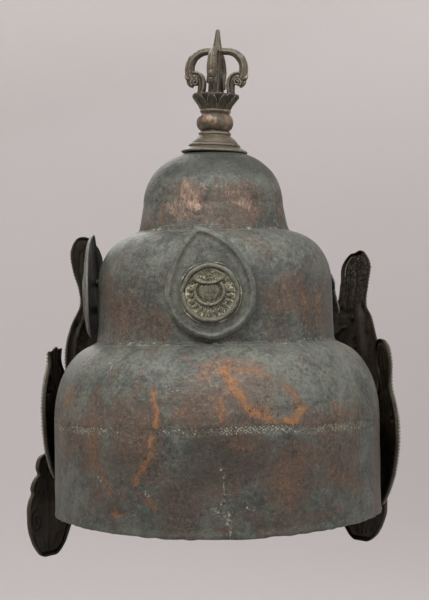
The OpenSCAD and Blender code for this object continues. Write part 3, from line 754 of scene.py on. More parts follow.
def revolve_tier(name, node, outer, inner, n, radius, fields, marks, seed, hold_top, hold_foot):
    loop = np.concatenate([outer, inner])
    normals = profile_normals(loop)
    az, row, r, z = revolved(n, loop)
    az = az - math.pi
    outside = row < len(outer)
    p = cylinder_points(az, r, z)
    out = 0.45 * noise(p, 48, seed) + 0.25 * noise(p, 21, seed + 1) + 0.1 * noise(p, 9, seed + 2)
    out = (out + dents(az, z, radius, marks)) * ease(hold_top - z, 0, 5) * ease(z - hold_foot, 0, 6)
    fine = skin(p, seed + 5) * np.where(outside, 1.0, 0.6)
    orange, crust, rub, brown, dirt_and_shade, cool = fields(az, z)
    step = fine + np.where(outside, 0.25 * crust * (fbm(p, 2.2, seed + 9, 2) + 0.4), 0)
    v = cylinder_points(az, r + out + normals[row, 0] * step, z + normals[row, 1] * step)
    inside = (~outside)[:, None]
    stain = np.where(inside, 0.0, rgb(orange, crust, rub))
    wear = np.where(inside, rgb(0.7, 0.75, 0.0), rgb(brown, dirt_and_shade, cool))
    quads = grid_quads(len(loop), n, wrap_rows=True, wrap_cols=True)
    Shape().add(v, quads, stain=stain, wear=wear).build(name, body_paint, "body_copper", [node])


def mid_fields(az, z):
    r = MID_MARKS_R
    p = cylinder_points(az, r, z)
    orange = strokes(az, z, r, [
        ([(56, 140), (58, 112)], 2.4, 0.45), ([(45.1, 134.0), (47, 128)], 2.2, 0.42),
        ([(33, 140), (36, 132)], 2.0, 0.34), ([(-50, 122), (-46, 112)], 3.0, 0.3),
        ([(120, 150), (124, 130)], 3, 0.5), ([(-130, 140), (-127, 120)], 3, 0.5),
    ], 301)
    brown = patches(az, z, r, [
        (36, 134, 15, 14, 0.85), (52, 126, 12, 14, 0.8), (-50, 122, 16, 18, 0.8), (-30, 116, 14, 10, 0.6),
        (-62, 140, 10, 16, 0.6), (20, 164, 12, 6, 0.4), (66, 124, 8, 20, 0.5), (110, 130, 30, 30, 0.8),
        (-110, 130, 30, 30, 0.8), (180, 130, 40, 30, 0.7)], 311)
    foot = np.exp(-((z - 109) / 3.0) ** 2)
    crust = 0.5 * foot * (0.55 + 0.7 * noise(p, 9, 321))
    crust = np.maximum(crust, 0.34 * np.exp(-((z - 172) / 4.0) ** 2) * (0.8 + 0.5 * noise(p, 10, 323)))
    crust = np.maximum(crust, strokes(az, z, r, [
        ([(-52, 150), (-30, 158)], 5.0, 0.30), ([(48, 118)], 2.0, 0.4), ([(66, 150), (68, 120)], 2.4, 0.32),
        ([(-70, 150), (-72, 115)], 2.4, 0.30), ([(24, 158)], 3.0, 0.3)], 325))
    dirt_and_shade = 0.22 * ease(-noise(p, 20, 331) - 0.1)
    shade = patches(az, z, r, [(2, 136, 33, 30, 0.5)], 333)
    cool = 0.7 * ease(z, 140, 168) * ease(noise(p, 30, 335) + 0.5)
    cool = np.maximum(cool, patches(az, z, r, [(-30, 146, 20, 14, 0.7), (30, 150, 14, 10, 0.6),
                                               (60, 146, 12, 14, 0.5), (-42, 112, 14, 6, 0.6),
                                               (20, 114, 20, 6, 0.6)], 337))
    return orange, crust, 0.0, brown, np.maximum(dirt_and_shade, 0.5 * shade), cool


def top_fields(az, z):
    r = TOP_MARKS_R
    p = cylinder_points(az, r, z)
    orange = strokes(az, z, r, [([(-47.1, 187.7), (-46.5, 178.6)], 1.0, 0.75),
                                ([(4, 200), (0, 188)], 1.4, 0.35), ([(28, 190), (34, 180)], 2.4, 0.35),
                                ([(62, 190), (64, 180)], 1.6, 0.4)], 401)
    rub = patches(az, z, r, [
        (-24, 197, 5, 6, 0.85), (-14, 192, 11, 10, 0.9), (-30, 188, 6, 8, 0.8), (-6, 196, 6, 7, 0.7),
        (-40, 184, 6, 3.5, 0.85), (-30, 182, 8, 3.5, 0.75), (20, 195, 10, 5, 0.75), (28, 192, 7, 7, 0.8),
        (10, 197, 6, 3, 0.7), (33, 186, 7, 7, 0.6), (22, 184, 9, 4, 0.5), (66, 196, 3, 6, 0.5),
        (-28, 202, 2, 7, 0.4), (120, 196, 10, 8, 0.6), (-130, 192, 12, 9, 0.6), (180, 198, 14, 6, 0.5)], 411)
    brown = patches(az, z, r, [(-20, 188, 20, 13, 0.9), (24, 188, 20, 12, 0.9), (0, 180, 36, 6, 0.8),
                               (64, 188, 8, 12, 0.7), (-66, 184, 8, 10, 0.6), (140, 188, 30, 14, 0.8),
                               (-140, 188, 30, 14, 0.8)], 421)
    crust = 0.34 * np.exp(-((z - 174) / 2.4) ** 2) * (0.9 + 0.6 * noise(p, 8, 431))
    crust = np.maximum(crust, strokes(az, z, r, [
        ([(-28, 212), (-24, 204)], 1.0, 0.4), ([(-10, 213), (-5, 206)], 0.5, 0.6),
        ([(14, 212), (34, 209)], 0.6, 0.6), ([(44, 208), (56, 203)], 0.6, 0.6),
        ([(-34, 214), (-30, 208)], 2.4, 0.34), ([(8, 178)], 1.2, 0.6)], 433))
    dirt_and_shade = 0.3 * ease(-noise(p, 16, 441) - 0.1)
    # painted shade: the top of the dome is darkened against the light from above
    dirt_and_shade = np.maximum(dirt_and_shade, 0.78 * ease(z, 198, 209))
    dirt_and_shade = np.maximum(dirt_and_shade, patches(az, z, r, [(0, 212, 20, 4, 0.45), (-40, 193, 5, 5, 0.35),
                                               (4, 184, 5, 6, 0.3), (-66, 200, 8, 12, 0.3)], 443))
    cool = patches(az, z, r, [(-40, 194, 8, 7, 1.0), (30, 206, 22, 6, 0.7), (2, 190, 5, 14, 0.6),
                              (50, 190, 6, 16, 0.6), (4, 183, 6, 5, 0.6), (-10, 208, 14, 4, 0.6),
                              (-60, 182, 8, 8, 0.5)], 445)
    return orange, crust, rub, brown, dirt_and_shade, cool


def make_upper_tiers():
    foot = [(77.9, 100.06), (74.5, 102.0), (71.6, 103.4), (70.9, 104.6), (70.9, 109.4)]
    outer = np.concatenate([foot[:-1], resample([foot[-1]] + list(tier_curve(MID)), 1.1)])
    inner = np.concatenate([resample(list(tier_curve(MID, WALL))[::-1] + [(69.3, 109.4), (69.3, 102.4)], 3.0),
                            [(72.6, 100.6), (77.9, 98.8)]])
    revolve_tier("tier_middle", "middle_tier", outer, inner, 480, MID_MARKS_R, mid_fields,
                 [(50, 124, 9, 8, -0.5), (-44, 150, 12, 9, 0.5), (30, 152, 12, 8, -0.4),
                  (-60, 124, 8, 14, -0.4), (120, 140, 12, 10, -0.6),
                  (-140, 130, 12, 12, -0.6)], 501, 171.8, 106.5)
    foot = [(50.6, 165.7), (47.6, 167.6), (45.2, 168.8), (44.6, 169.6), (44.6, 174.6)]
    outer = np.concatenate([foot[:-1], resample([foot[-1]] + list(tier_curve(TOP)), 0.9)])
    inner = np.concatenate([resample(list(tier_curve(TOP, WALL))[::-1] + [(43.0, 174.6), (43.0, 167.6)], 2.4),
                            [(46.4, 165.6), (50.6, 164.4)]])
    revolve_tier("tier_dome", "top_dome", outer, inner, 400, TOP_MARKS_R, top_fields,
                 [(-30, 196, 8, 6, -0.4), (28, 202, 9, 6, -0.4), (0, 186, 8, 8, 0.3),
                  (150, 196, 10, 8, -0.5)],
                 601, 217.0, 172.0)


def make_seams():
    n, steps = 560, 12
    for name, node, foot_r, tier, seed in (("seam_lower", "lower_seam", 70.9, LOW, 701),
                                           ("seam_upper", "upper_seam", 44.6, MID, 711)):
        curve = tier_curve(tier)
        order = np.argsort(curve[:, 0])

        def seat(r):
            return np.interp(r, curve[order, 0], curve[order, 1])
        az = around(n)
        width = 2.5 + 0.5 * noise(cylinder_points(az, foot_r, 0 * az), 9, seed)
        loop = []
        for k in range(steps + 1):
            t = math.pi / 2 * k / steps
            r = foot_r - 0.05 + width * (1 - math.sin(t))
            z = seat(foot_r + 2.4) + 0.25 + (width + 0.2) * (1 - math.cos(t))
            loop.append(cylinder_points(az, r, z))
        r = np.full(n, foot_r - 0.3)
        loop.append(cylinder_points(az, r, seat(foot_r + 0.2) + 0.05 + 0 * az))
        loop.append(cylinder_points(az, foot_r + width + 0.4, seat(foot_r + width + 0.4) - 0.35))
        v = np.stack(loop)
        lump = fbm(v, 2.6, seed + 1, 3)[..., None]
        grow = np.zeros(len(loop))
        grow[:steps + 1] = np.sin(np.pi * (0.12 + 0.76 * np.arange(steps + 1) / steps))
        out = np.stack([np.sin(az), -np.cos(az), 0.8 + 0 * az], -1)[None]
        v = v + 0.55 * lump * grow[:, None, None] * out
        p = v.reshape(-1, 3)
        crust = 0.42 + 0.4 * noise(p, 7, seed + 3) + 0.2 * noise(p, 2.5, seed + 4)
        stain = rgb(0.12 * ease(noise(p, 12, seed + 5)), crust, 0.0)
        wear = rgb(0.2, 0.15, 0.5 * ease(noise(p, 14, seed + 6) + 0.3))
        Shape().add(v, grid_quads(len(loop), n, True, True), stain=stain, wear=wear).build(
            name, body_paint, "body_copper", [node])


make_lower_tier()
make_upper_tiers()
make_seams()

# ---- finial -------------------------------------------------------------------------------

LEAN, SHIFT, SEAT = math.radians(2.5), 0.8, 222.0
FINIAL_TURN = -11.0
BORE = 2.3                  # radius of the spindle's hole through the finial


def lean(p):
    """From the finial's own axis to the crown."""
    p = np.asarray(p, float)
    x, y, z = p[..., 0], p[..., 1], p[..., 2] - SEAT
    return np.stack([x * math.cos(LEAN) + z * math.sin(LEAN) + SHIFT, y,
                     SEAT - x * math.sin(LEAN) + z * math.cos(LEAN)], -1)


def between(a, b, c, d, t):
    """Catmull-Rom curve from b to c."""
    return 0.5 * (2 * b + (c - a) * t + (2 * a - 5 * b + 4 * c - d) * t * t
                  + (3 * b - a - 3 * c + d) * t ** 3)


def rounded(points, per):
    """Curve through all points but the first and the last, with per steps between two of them."""
    out = [between(*points[i - 1:i + 3], k / per) for i in range(1, len(points) - 2) for k in range(per)]
    return np.array(out + [points[-2]])


def with_ends(points):
    """The points with one more at each end, in line with the last two."""
    pts = np.asarray(points, float)
    return np.concatenate([2 * pts[:1] - pts[1:2], pts, 2 * pts[-1:] - pts[-2:-1]])


def smooth_line(points, step):
    return resample(rounded(with_ends(points), 12), step)


def make_turned(name, node, profile, seed, n=220, step=0.35, shape=None, rub=0.0, rough=0.09):
    """A cast and turned piece of the finial, with a hole for the spindle."""
    outer = smooth_line(profile, step)
    loop = np.concatenate([outer, [(BORE, outer[-1][1]), (BORE, outer[0][1])]])
    normals = profile_normals(loop)
    az, row, r, z = revolved(n, loop)
    outside = row < len(outer)
    p = cylinder_points(az, r, z)
    bump = rough * fbm(p, 3.5, seed, 3) + 0.6 * rough * noise(p, 9, seed + 3)
    extra, stain_more, more_dirt_and_shade = shape(az, r, z, p) if shape else (0, 0, 0)
    bump = np.where(outside & (r > BORE + 0.5), bump + extra, 0)
    v = cylinder_points(az, r + normals[row, 0] * bump, z + normals[row, 1] * bump)
    high = ease(noise(p, 6, seed + 7) + 0.4 * noise(p, 2, seed + 8), -0.1, 0.5)
    stain = rgb(0.15 * ease(noise(p, 5, seed + 9)), 0.10 + stain_more, rub * high)
    cool = 0.35 * ease(noise(p, 7, seed + 11))
    wear = rgb(0.4 + 0.3 * noise(p, 8, seed + 10), np.where(outside, more_dirt_and_shade, 0.6), cool)
    Shape().add(lean(v), grid_quads(len(loop), n, True, True), stain=stain, wear=wear).build(
        name, finial_paint, "finial_bronze", [node])


def cup_petals(az, r, z, p):
    """Two rows of double-outlined petals round the lotus cup."""
    t = (z - 246.0) / 9.0
    height = np.zeros(np.shape(t))
    line = np.zeros(np.shape(t))
    # azimuths here run from -Y, so turn the petals to the prongs
    base = (np.degrees(az) - 90 - FINIAL_TURN) / 36.0
    for shift, foot, top, level in ((0.0, -0.3, 0.93, 1.0), (0.5, 0.35, 1.04, 0.45)):
        a = (base + shift) % 1.0 * 2 - 1
        y = np.clip((t - foot) / (top - foot), 0, 1)
        arch = np.sqrt(np.clip(1 - np.maximum(y - 0.42, 0) ** 2 / 0.336, 0, 1)) * 0.97
        d = arch - np.abs(a)
        inside = (d > 0) & (t > foot) & (t < top)
        swell = level * np.where(inside, 0.25 + 0.75 * np.sqrt(np.clip(d, 0, 1)), 0)
        rim = level * np.where(inside, np.exp(-((d - 0.12) / 0.085) ** 2)
                               + 0.5 * np.exp(-((d - 0.42) / 0.07) ** 2), 0)
        total = swell + rim
        line = np.where(total > height, np.where(inside, np.exp(-((d - 0.12) / 0.09) ** 2)
                                                 + 0.5 * np.exp(-((d - 0.42) / 0.06) ** 2), 0), line)
        height = np.maximum(height, total)
    on = ease(t, -0.02, 0.08)
    # dirt and painted shade in the low ground between and inside the petals
    dirt_and_shade = 0.75 * (1 - ease(height, 0.15, 0.7)) + 0.25 * (1 - line) * (height > 0.3)
    return 0.62 * height * on, 0.75 * line * on, np.clip(0.2 + dirt_and_shade, 0, 0.9) * on


def make_finial():
    make_turned("finial_seat", "seat_plate", [(17.0, 220.4), (19.2, 219.9), (19.85, 220.4), (19.7, 221.2),
                                              (18.2, 221.9), (16.4, 222.8), (15.6, 223.4)], 801, rub=0.25,
                shape=lambda az, r, z, p: (0.18 * noise(p, 14, 805), 0.06, 0.15 * ease(16.8 - r)))
    make_turned("finial_pedestal", "pedestal", [(15.0, 223.4), (15.5, 224.1), (15.2, 225.0), (14.3, 225.5),
                                                (14.0, 226.0), (13.3, 227.0), (12.0, 228.3), (10.6, 229.4),
                                                (9.7, 230.2), (9.4, 230.6)],
                811, rub=0.35, shape=lambda az, r, z, p: (0, 0.0, 0.4 * np.exp(-((z - 225.6) / 0.4) ** 2)))
    t = np.radians(np.linspace(-58, 58, 15))
    belly = [(4.1 + 7 * math.cos(a), 238.3 + 5.5 * math.sin(a) / math.sin(math.radians(58))) for a in t]
    make_turned("finial_bulb", "bulb", [(9.1, 230.6), (9.6, 231.1), (9.65, 231.9), (9.1, 232.6)] + belly[1:-1]
                + [(8.8, 244.2), (9.25, 244.8), (9.3, 245.4), (9.0, 246.0)], 821, rub=0.95, rough=0.12,
                shape=lambda az, r, z, p: (0.1 * noise(p, 5, 825), 0.0,
                                           0.5 * np.exp(-((z - 232.7) / 0.35) ** 2)
                                           + 0.4 * np.exp(-((z - 244.0) / 0.4) ** 2)))
    make_turned("finial_lotus", "lotus_cup", [(8.8, 246.0), (9.0, 247.2), (9.9, 249.0), (11.3, 250.9),
                                              (12.5, 252.6), (13.3, 253.9), (13.5, 254.6), (13.1, 255.0),
                                              (11.0, 254.7), (7.0, 254.6)],
                831, n=420, step=0.22, shape=cup_petals, rub=0.2)
    # the central spike: eight soft facets, blunt at the tip
    rings = smooth_line([(2.9, 254.5), (2.7, 262), (2.7, 274), (3.1, 279), (3.5, 281.6), (2.9, 283.6),
                         (2.35, 286), (1.9, 289), (1.45, 292.2), (1.15, 293.7), (0.6, 294.4),
                         (0.02, 294.5)], 0.35)
    n = 96
    az, _, core, z = revolved(n, rings)
    sector = (az + 0.3) % (math.pi / 4) - math.pi / 8
    r = core * (0.94 / np.cos(sector))
    p = cylinder_points(az, r, z)
    grow = 0.16 * fbm(p, 3.0, 841, 3) * ease(core, 0, 1.2)
    v, quads, caps = capped(cylinder_points(az, r + grow, z).reshape(len(rings), n, 3))
    shape = Shape()
    shape.add(lean(v), quads, caps, stain=rgb(0.1, 0.18, 0.5 * ease(noise(v, 4, 845))), wear=(0.45, 0.1, 0.3))
    # its shank and riveted end inside the stack
    lower = np.array([(0.02, 215.4), (2.4, 215.6), (3.3, 216.8), (3.4, 217.75), (2.2, 217.8), (2.2, 254.5),
                      (0.02, 254.6)])
    az, _, r, z = revolved(32, lower)
    v = np.concatenate([cylinder_points(az, r, z), [[0, 0, lower[0][1]]], [[0, 0, lower[-1][1]]]])
    shape.add(lean(v), grid_quads(len(lower), 32, False, True), end_caps(len(v) - 2, 32),
              wear=(0.5, 0.3, 0.0))
    shape.build("finial_spindle", finial_paint, "finial_bronze", ["spindle"])


def tube(path, sizes, sides=12, squash=1.0, up=(0, 1, 0), ridges=0, ridge=0.0):
    """A closed bar that follows a path of 3-D points, with a radius at each point."""
    path = np.asarray(path, float)
    tangent = np.gradient(path, axis=0)
    tangent /= np.linalg.norm(tangent, axis=1)[:, None]
    up = np.asarray(up, float)
    side = np.cross(tangent, up)
    side /= np.linalg.norm(side, axis=1)[:, None]
    top = np.cross(side, tangent)
    a = around(sides)
    r = np.asarray(sizes, float)[:, None] * (1 + ridge * np.cos(ridges * a))[None]
    a = a[None, :, None]
    sideways, upwards = np.cos(a) * side[:, None], squash * np.sin(a) * top[:, None]
    return capped(path[:, None] + r[..., None] * (sideways + upwards))


def spline3(points, n):
    ext = with_ends(points)
    u = np.linspace(0, len(points) - 1 - 1e-9, n)
    i = u.astype(int)
    return between(ext[i], ext[i + 1], ext[i + 2], ext[i + 3], (u - i)[:, None])


def bar(shape, points, n=40, **kw):
    """Adds a bar through (x, y, z, radius) points."""
    line = spline3(points, n)
    shape.add(*tube(line[:, :3], line[:, 3], **kw))


def globe(sides, rows, gap):
    """Rings of points on a unit ball, which stop gap radians short of its poles."""
    u, w = np.meshgrid(around(sides), np.linspace(gap, math.pi - gap, rows))
    return np.stack([np.sin(w) * np.cos(u), np.sin(w) * np.sin(u), np.cos(w)], -1)


def ball(shape, centre, radii, n=24):
    shape.add(*capped(globe(n, n // 2, 0.05) * radii + centre))


def fused(shape, voxel):
    """The outer skin of overlapping solids, as arrays in millimetres."""
    v = np.concatenate(shape.v)
    me = bpy.data.meshes.new("fuse")
    faces = [list(f) for f in np.concatenate(shape.q)] + [list(f) for f in np.concatenate(shape.t)]
    me.from_pydata(v.tolist(), [], faces)
    obj = bpy.data.objects.new("fuse", me)
    scene.collection.objects.link(obj)
    mod = obj.modifiers.new("skin", "REMESH")
    mod.mode, mod.voxel_size = "VOXEL", voxel
    mod = obj.modifiers.new("ease", "SMOOTH")
    mod.factor, mod.iterations = 0.5, 3
    done = bpy.data.meshes.new_from_object(obj.evaluated_get(bpy.context.evaluated_depsgraph_get()))
    co = np.zeros(len(done.vertices) * 3)
    done.vertices.foreach_get("co", co)
    quads = np.zeros(len(done.polygons) * 4, int)
    done.loops.foreach_get("vertex_index", quads)
    bpy.data.objects.remove(obj)
    bpy.data.meshes.remove(me)
    bpy.data.meshes.remove(done)
    return co.reshape(-1, 3), quads.reshape(-1, 4)


def make_prongs():
    s = Shape()
    arc = [(5.9 + 10.6 * math.cos(math.radians(a)), 0, 270.4 + 10.6 * math.sin(math.radians(a)))
           for a in (-46, -30, -10, 10, 30, 50, 70, 86)]
    sizes = (2.3, 2.7, 2.85, 2.8, 2.6, 2.35, 2.15, 2.0)
    bar(s, [(x, y, z, r) for (x, y, z), r in zip(arc, sizes)] + [(3.4, 0, 281.2, 2.0), (1.0, 0, 281.3, 2.0)],
        n=60, sides=8, ridges=4, ridge=0.07)
    # the thickened knuckle where the prong's outer edge breaks
    bar(s, [(14.2, 0, 277.9, 1.6), (15.1, 0, 277.0, 2.3), (15.9, 0, 275.6, 2.0)], n=12, sides=10)
    # head with a snout that curls outwards
    ball(s, (12.6, 0, 264.6), (3.3, 2.9, 3.6))
    ball(s, (14.6, 0, 262.6), (2.6, 2.5, 2.6))
    bar(s, [(15.0, 0, 264.6, 2.2), (17.2, 0, 264.8, 1.7), (18.3, 0, 266.0, 1.25), (18.5, 0, 267.3, 0.9)],
        n=24, sides=12, squash=1.2)
    bar(s, [(14.0, 0, 260.4, 1.5), (15.8, 0, 260.9, 1.3), (17.0, 0, 262.2, 1.1), (17.9, 0, 263.2, 0.7)],
        n=24, sides=12, squash=1.3)
    for side in (-1, 1):
        # a round eye and a coiled cheek on each side
        ball(s, (13.2, side * 2.5, 265.7), (1.05, 0.8, 1.05), n=16)
        coil = []
        for k in range(26):
            a = math.radians(-60 + 22 * k)
            rad = 2.5 * (1 - k / 30)
            coil.append((12.9 + rad * math.cos(a), side * (2.3 + 0.35 * k / 25), 262.4 + rad * math.sin(a),
                         0.62 - 0.008 * k))
        bar(s, coil, n=80, sides=8)
        # ribs that run up the stem and sweep over the head, the first of them in the middle
        for lane, out in ((0.0, 0.2), (1.25, -0.1), (2.3, -0.9)):
            bar(s, [(9.6 + out, side * lane, 254.6, 0.95), (8.6 + out, side * lane, 257.5, 0.95),
                    (8.2 + out, side * lane, 261.0, 0.9), (8.7 + out, side * lane, 264.4, 0.9),
                    (10.4 + out * 0.6, side * lane * 0.95, 267.2, 0.85),
                    (12.8, side * lane * 0.85, 268.2, 0.75),
                    (15.2, side * lane * 0.7, 267.6, 0.55)], n=44, sides=10)
    bar(s, [(9.9, 0, 254.4, 2.1), (9.4, 0, 258, 1.9), (9.4, 0, 262, 2.1), (11.0, 0, 265.5, 2.4)],
        n=24, sides=14)
    # foot on the lotus
    ball(s, (9.8, 0, 254.9), (2.9, 2.9, 1.1))
    v, quads = fused(s, 0.23)
    inner = np.hypot(v[:, 0], v[:, 1])
    for name, node, turn, seed in (("prong_rear", "prong_back", -90, 861),
                                   ("prong_starboard", "prong_right", 0, 871),
                                   ("prong_fore", "prong_front", 90, 881),
                                   ("prong_port", "prong_left", 180, 891)):
        a = math.radians(turn + FINIAL_TURN)
        shift = np.array([seed * 1.3, 0, 0])
        bend = np.stack([noise(v + shift, 9, 5 + k) for k in range(3)], 1)
        fine = np.stack([noise(v + shift, 1.3, 8 + k) for k in range(3)], 1)
        w = v + 0.35 * bend * ease(inner, 3, 9)[:, None] + 0.09 * fine
        turned = np.stack([w[:, 0] * math.cos(a) - w[:, 1] * math.sin(a),
                           w[:, 0] * math.sin(a) + w[:, 1] * math.cos(a), w[:, 2]], 1)
        tip = ease(18.9 - np.hypot(v[:, 0] - 18.3, v[:, 2] - 266.5), 15.0, 18.6)
        outer = ease(inner, 13, 18)
        rub = np.clip(0.9 * tip + 0.35 * outer * ease(noise(v + shift, 5, 12)), 0, 1)
        low = (1 - ease(v[:, 2], 256, 270)) * 0.5
        crust = 0.2 * ease(noise(v + shift, 3, 14)) + 0.1
        stain = rgb(0.12 + 0.2 * ease(noise(v + shift, 4, 13)), crust, rub)
        wear = rgb(0.5 + 0.2 * noise(v + shift, 7, 15), low * ease(3.2 - np.abs(v[:, 1])) * 0.8, 0.3)
        Shape().add(lean(turned), quads, stain=stain, wear=wear).build(
            name, finial_paint, "finial_bronze", [node])


make_finial()
make_prongs()

# ---- plaques --------------------------------------------------------------------------------

BEND = 150.0
SHEET = 1.1


class Plaque:
    """A bent sheet that stands off the crown.

    Turn 0 is the back, 90 the right, 180 the front, -90 the left.
    """

    def __init__(self, turn, yaw, foot, tall, r_foot, r_tip, bulge, power):
        self.turn, self.yaw, self.foot, self.tall = math.radians(turn), math.radians(yaw), foot, tall
        self.r_foot, self.r_tip, self.bulge, self.power = r_foot, r_tip, bulge, power

    def height(self, h):
        return self.foot + h * self.tall

    def at(self, x, z, off=0.0):
        """Point of the sheet at (x, z), off millimetres outwards from its front face."""
        h = (z - self.foot) / self.tall
        radius = (self.r_foot + (self.r_tip - self.r_foot) * np.maximum(h, 0) ** self.power
                  + 4 * self.bulge * h * (1 - h))
        reach = BEND + radius - self.r_foot + off
        y = BEND - self.r_foot - np.sqrt(np.maximum(reach ** 2 - x * x, 1)) + self.r_foot
        x1 = x * math.cos(self.yaw) - y * math.sin(self.yaw)
        y1 = x * math.sin(self.yaw) + y * math.cos(self.yaw) - self.r_foot
        return np.stack([x1 * math.cos(self.turn) - y1 * math.sin(self.turn),
                         x1 * math.sin(self.turn) + y1 * math.cos(self.turn), z + 0 * x1], -1)

    def outward(self):
        return np.array([math.sin(self.turn + self.yaw), -math.cos(self.turn + self.yaw), 0.0])


def ridge(x, z, lines):
    """Relief of rounded ridges: each line is (points, height, width)."""
    total = np.zeros(np.shape(x))
    for points, height, width in lines:
        d = to_line(x, z, points)
        bump = abs(height) * np.exp(-(d / width) ** 2)
        total = np.where(np.abs(total) > bump, total, math.copysign(1, height) * bump)
    return total


# -- teardrops and their medallions --

DROP_R, DROP_Z = 25.9, 135.4
ROUNDEL_R = 17.4            # the radius that a bezel is drawn at, before scaling
FACE_R = 14.1               # the same for the medallion inside it


def drop_reach(angle):
    """Reach of the teardrop's edge from its centre, at an angle in degrees from the top towards +X."""
    away = (angle + 10.5 + 180) % 360 - 180
    span = np.where(away > 0, 85, 60)
    return DROP_R * (1 + 0.45 * np.maximum(0, 1 - np.abs(away) / span) ** 1.8)


def make_teardrop(name, node, plaque, seed):
    n = 400
    angle = np.arange(n) * 360.0 / n
    reach = drop_reach(angle)
    unit = np.stack([np.sin(np.radians(angle)), np.cos(np.radians(angle))], 1)
    soft = plane(*unit.T) * 26
    reach = reach + 0.35 * noise(soft, 14, seed) + 0.15 * noise(soft, 5, seed + 1)
    roll = 1.9
    face = np.concatenate([np.linspace(0.02, 0.80, 44), np.linspace(0.80, 1.0, 27)[1:]])
    rows = []
    for s in face:
        e = (1 - s) * reach
        t = np.clip(1 - e / roll, 0, 1)
        off = -1.15 * (1 - np.sqrt(np.maximum(1 - t ** 2.2, 0)))
        off = off + 0.55 * np.exp(-((e - 2.4) / 1.1) ** 2) - 0.25 * np.exp(-((e - 5.2) / 1.6) ** 2)
        rows.append((s + 0 * e, off, 1.0 + 0 * e))
    for e, off in ((0.1, -1.7), (0.5, -2.0), (1.0, -2.0), (1.4, -1.7), (2.4, -1.3), (4.0, -1.15)):
        rows.append((1 - e / reach, off + 0 * reach, 0 * reach))
    for s in np.linspace(0.80, 0.02, 24):
        rows.append((s + 0 * reach, -SHEET + 0 * reach, 0 * reach))
    s = np.stack([r[0] for r in rows])
    off = np.stack([r[1] for r in rows])
    front = np.stack([r[2] for r in rows])
    x, z = s * reach * unit[:, 0], DROP_Z + s * reach * unit[:, 1]
    p = plane(x, z)
    e = (1 - s) * reach
    broad = 0.5 * noise(p, 19, seed + 2) + 0.2 * noise(p, 8, seed + 3)
    near = cells(p, 6.0, seed + 4)
    fine = 0.06 * (0.5 - near) + 0.06 * fbm(p, 2.4, seed + 5, 3)
    tip = np.exp(-((z - DROP_Z - 31) / 5.0) ** 2) * np.exp(-((x + 5) / 2.0) ** 2)
    away = ease(e, 0.5, 4)
    v = plaque.at(x, z, off + broad * away + fine * np.where(front > 0, 1, 0.5) + 0.5 * tip)
    ring = np.hypot(x, z - DROP_Z)
    # buff deposit on the bead inside the edge, with a painted highlight there
    crust = 0.22 * np.exp(-((e - 2.2) / 0.8) ** 2)
    crust = crust + 0.35 * np.exp(-((ring - 18.0) / 0.7) ** 2) * ease(noise(p, 6, seed + 6))
    crust = crust + 0.3 * ease(noise(p, 4, seed + 7) - 0.45) + 0.12 * ease(z, 150, 168)
    # painted shade round the bezel, on the turned-back edge and on the back of the sheet
    dirt_and_shade = np.where(front > 0, 0.30 * np.exp(-((ring - 18.1) / 0.8) ** 2) + 0.35 * ease(-off, 1.2, 2.6), 0.8)
    cool = 0.7 * ease(noise(p, 16, seed + 8) + 0.4) * (front > 0)
    brown = 0.55 * ease(noise(p, 12, seed + 9) - 0.05)
    wear = rgb(padded(brown), padded(dirt_and_shade), padded(cool))
    Shape().add(*capped(v), rgb(0.0, padded(crust), 0.0), wear).build(
        name, plaque_paint, "plaque_copper", [node])


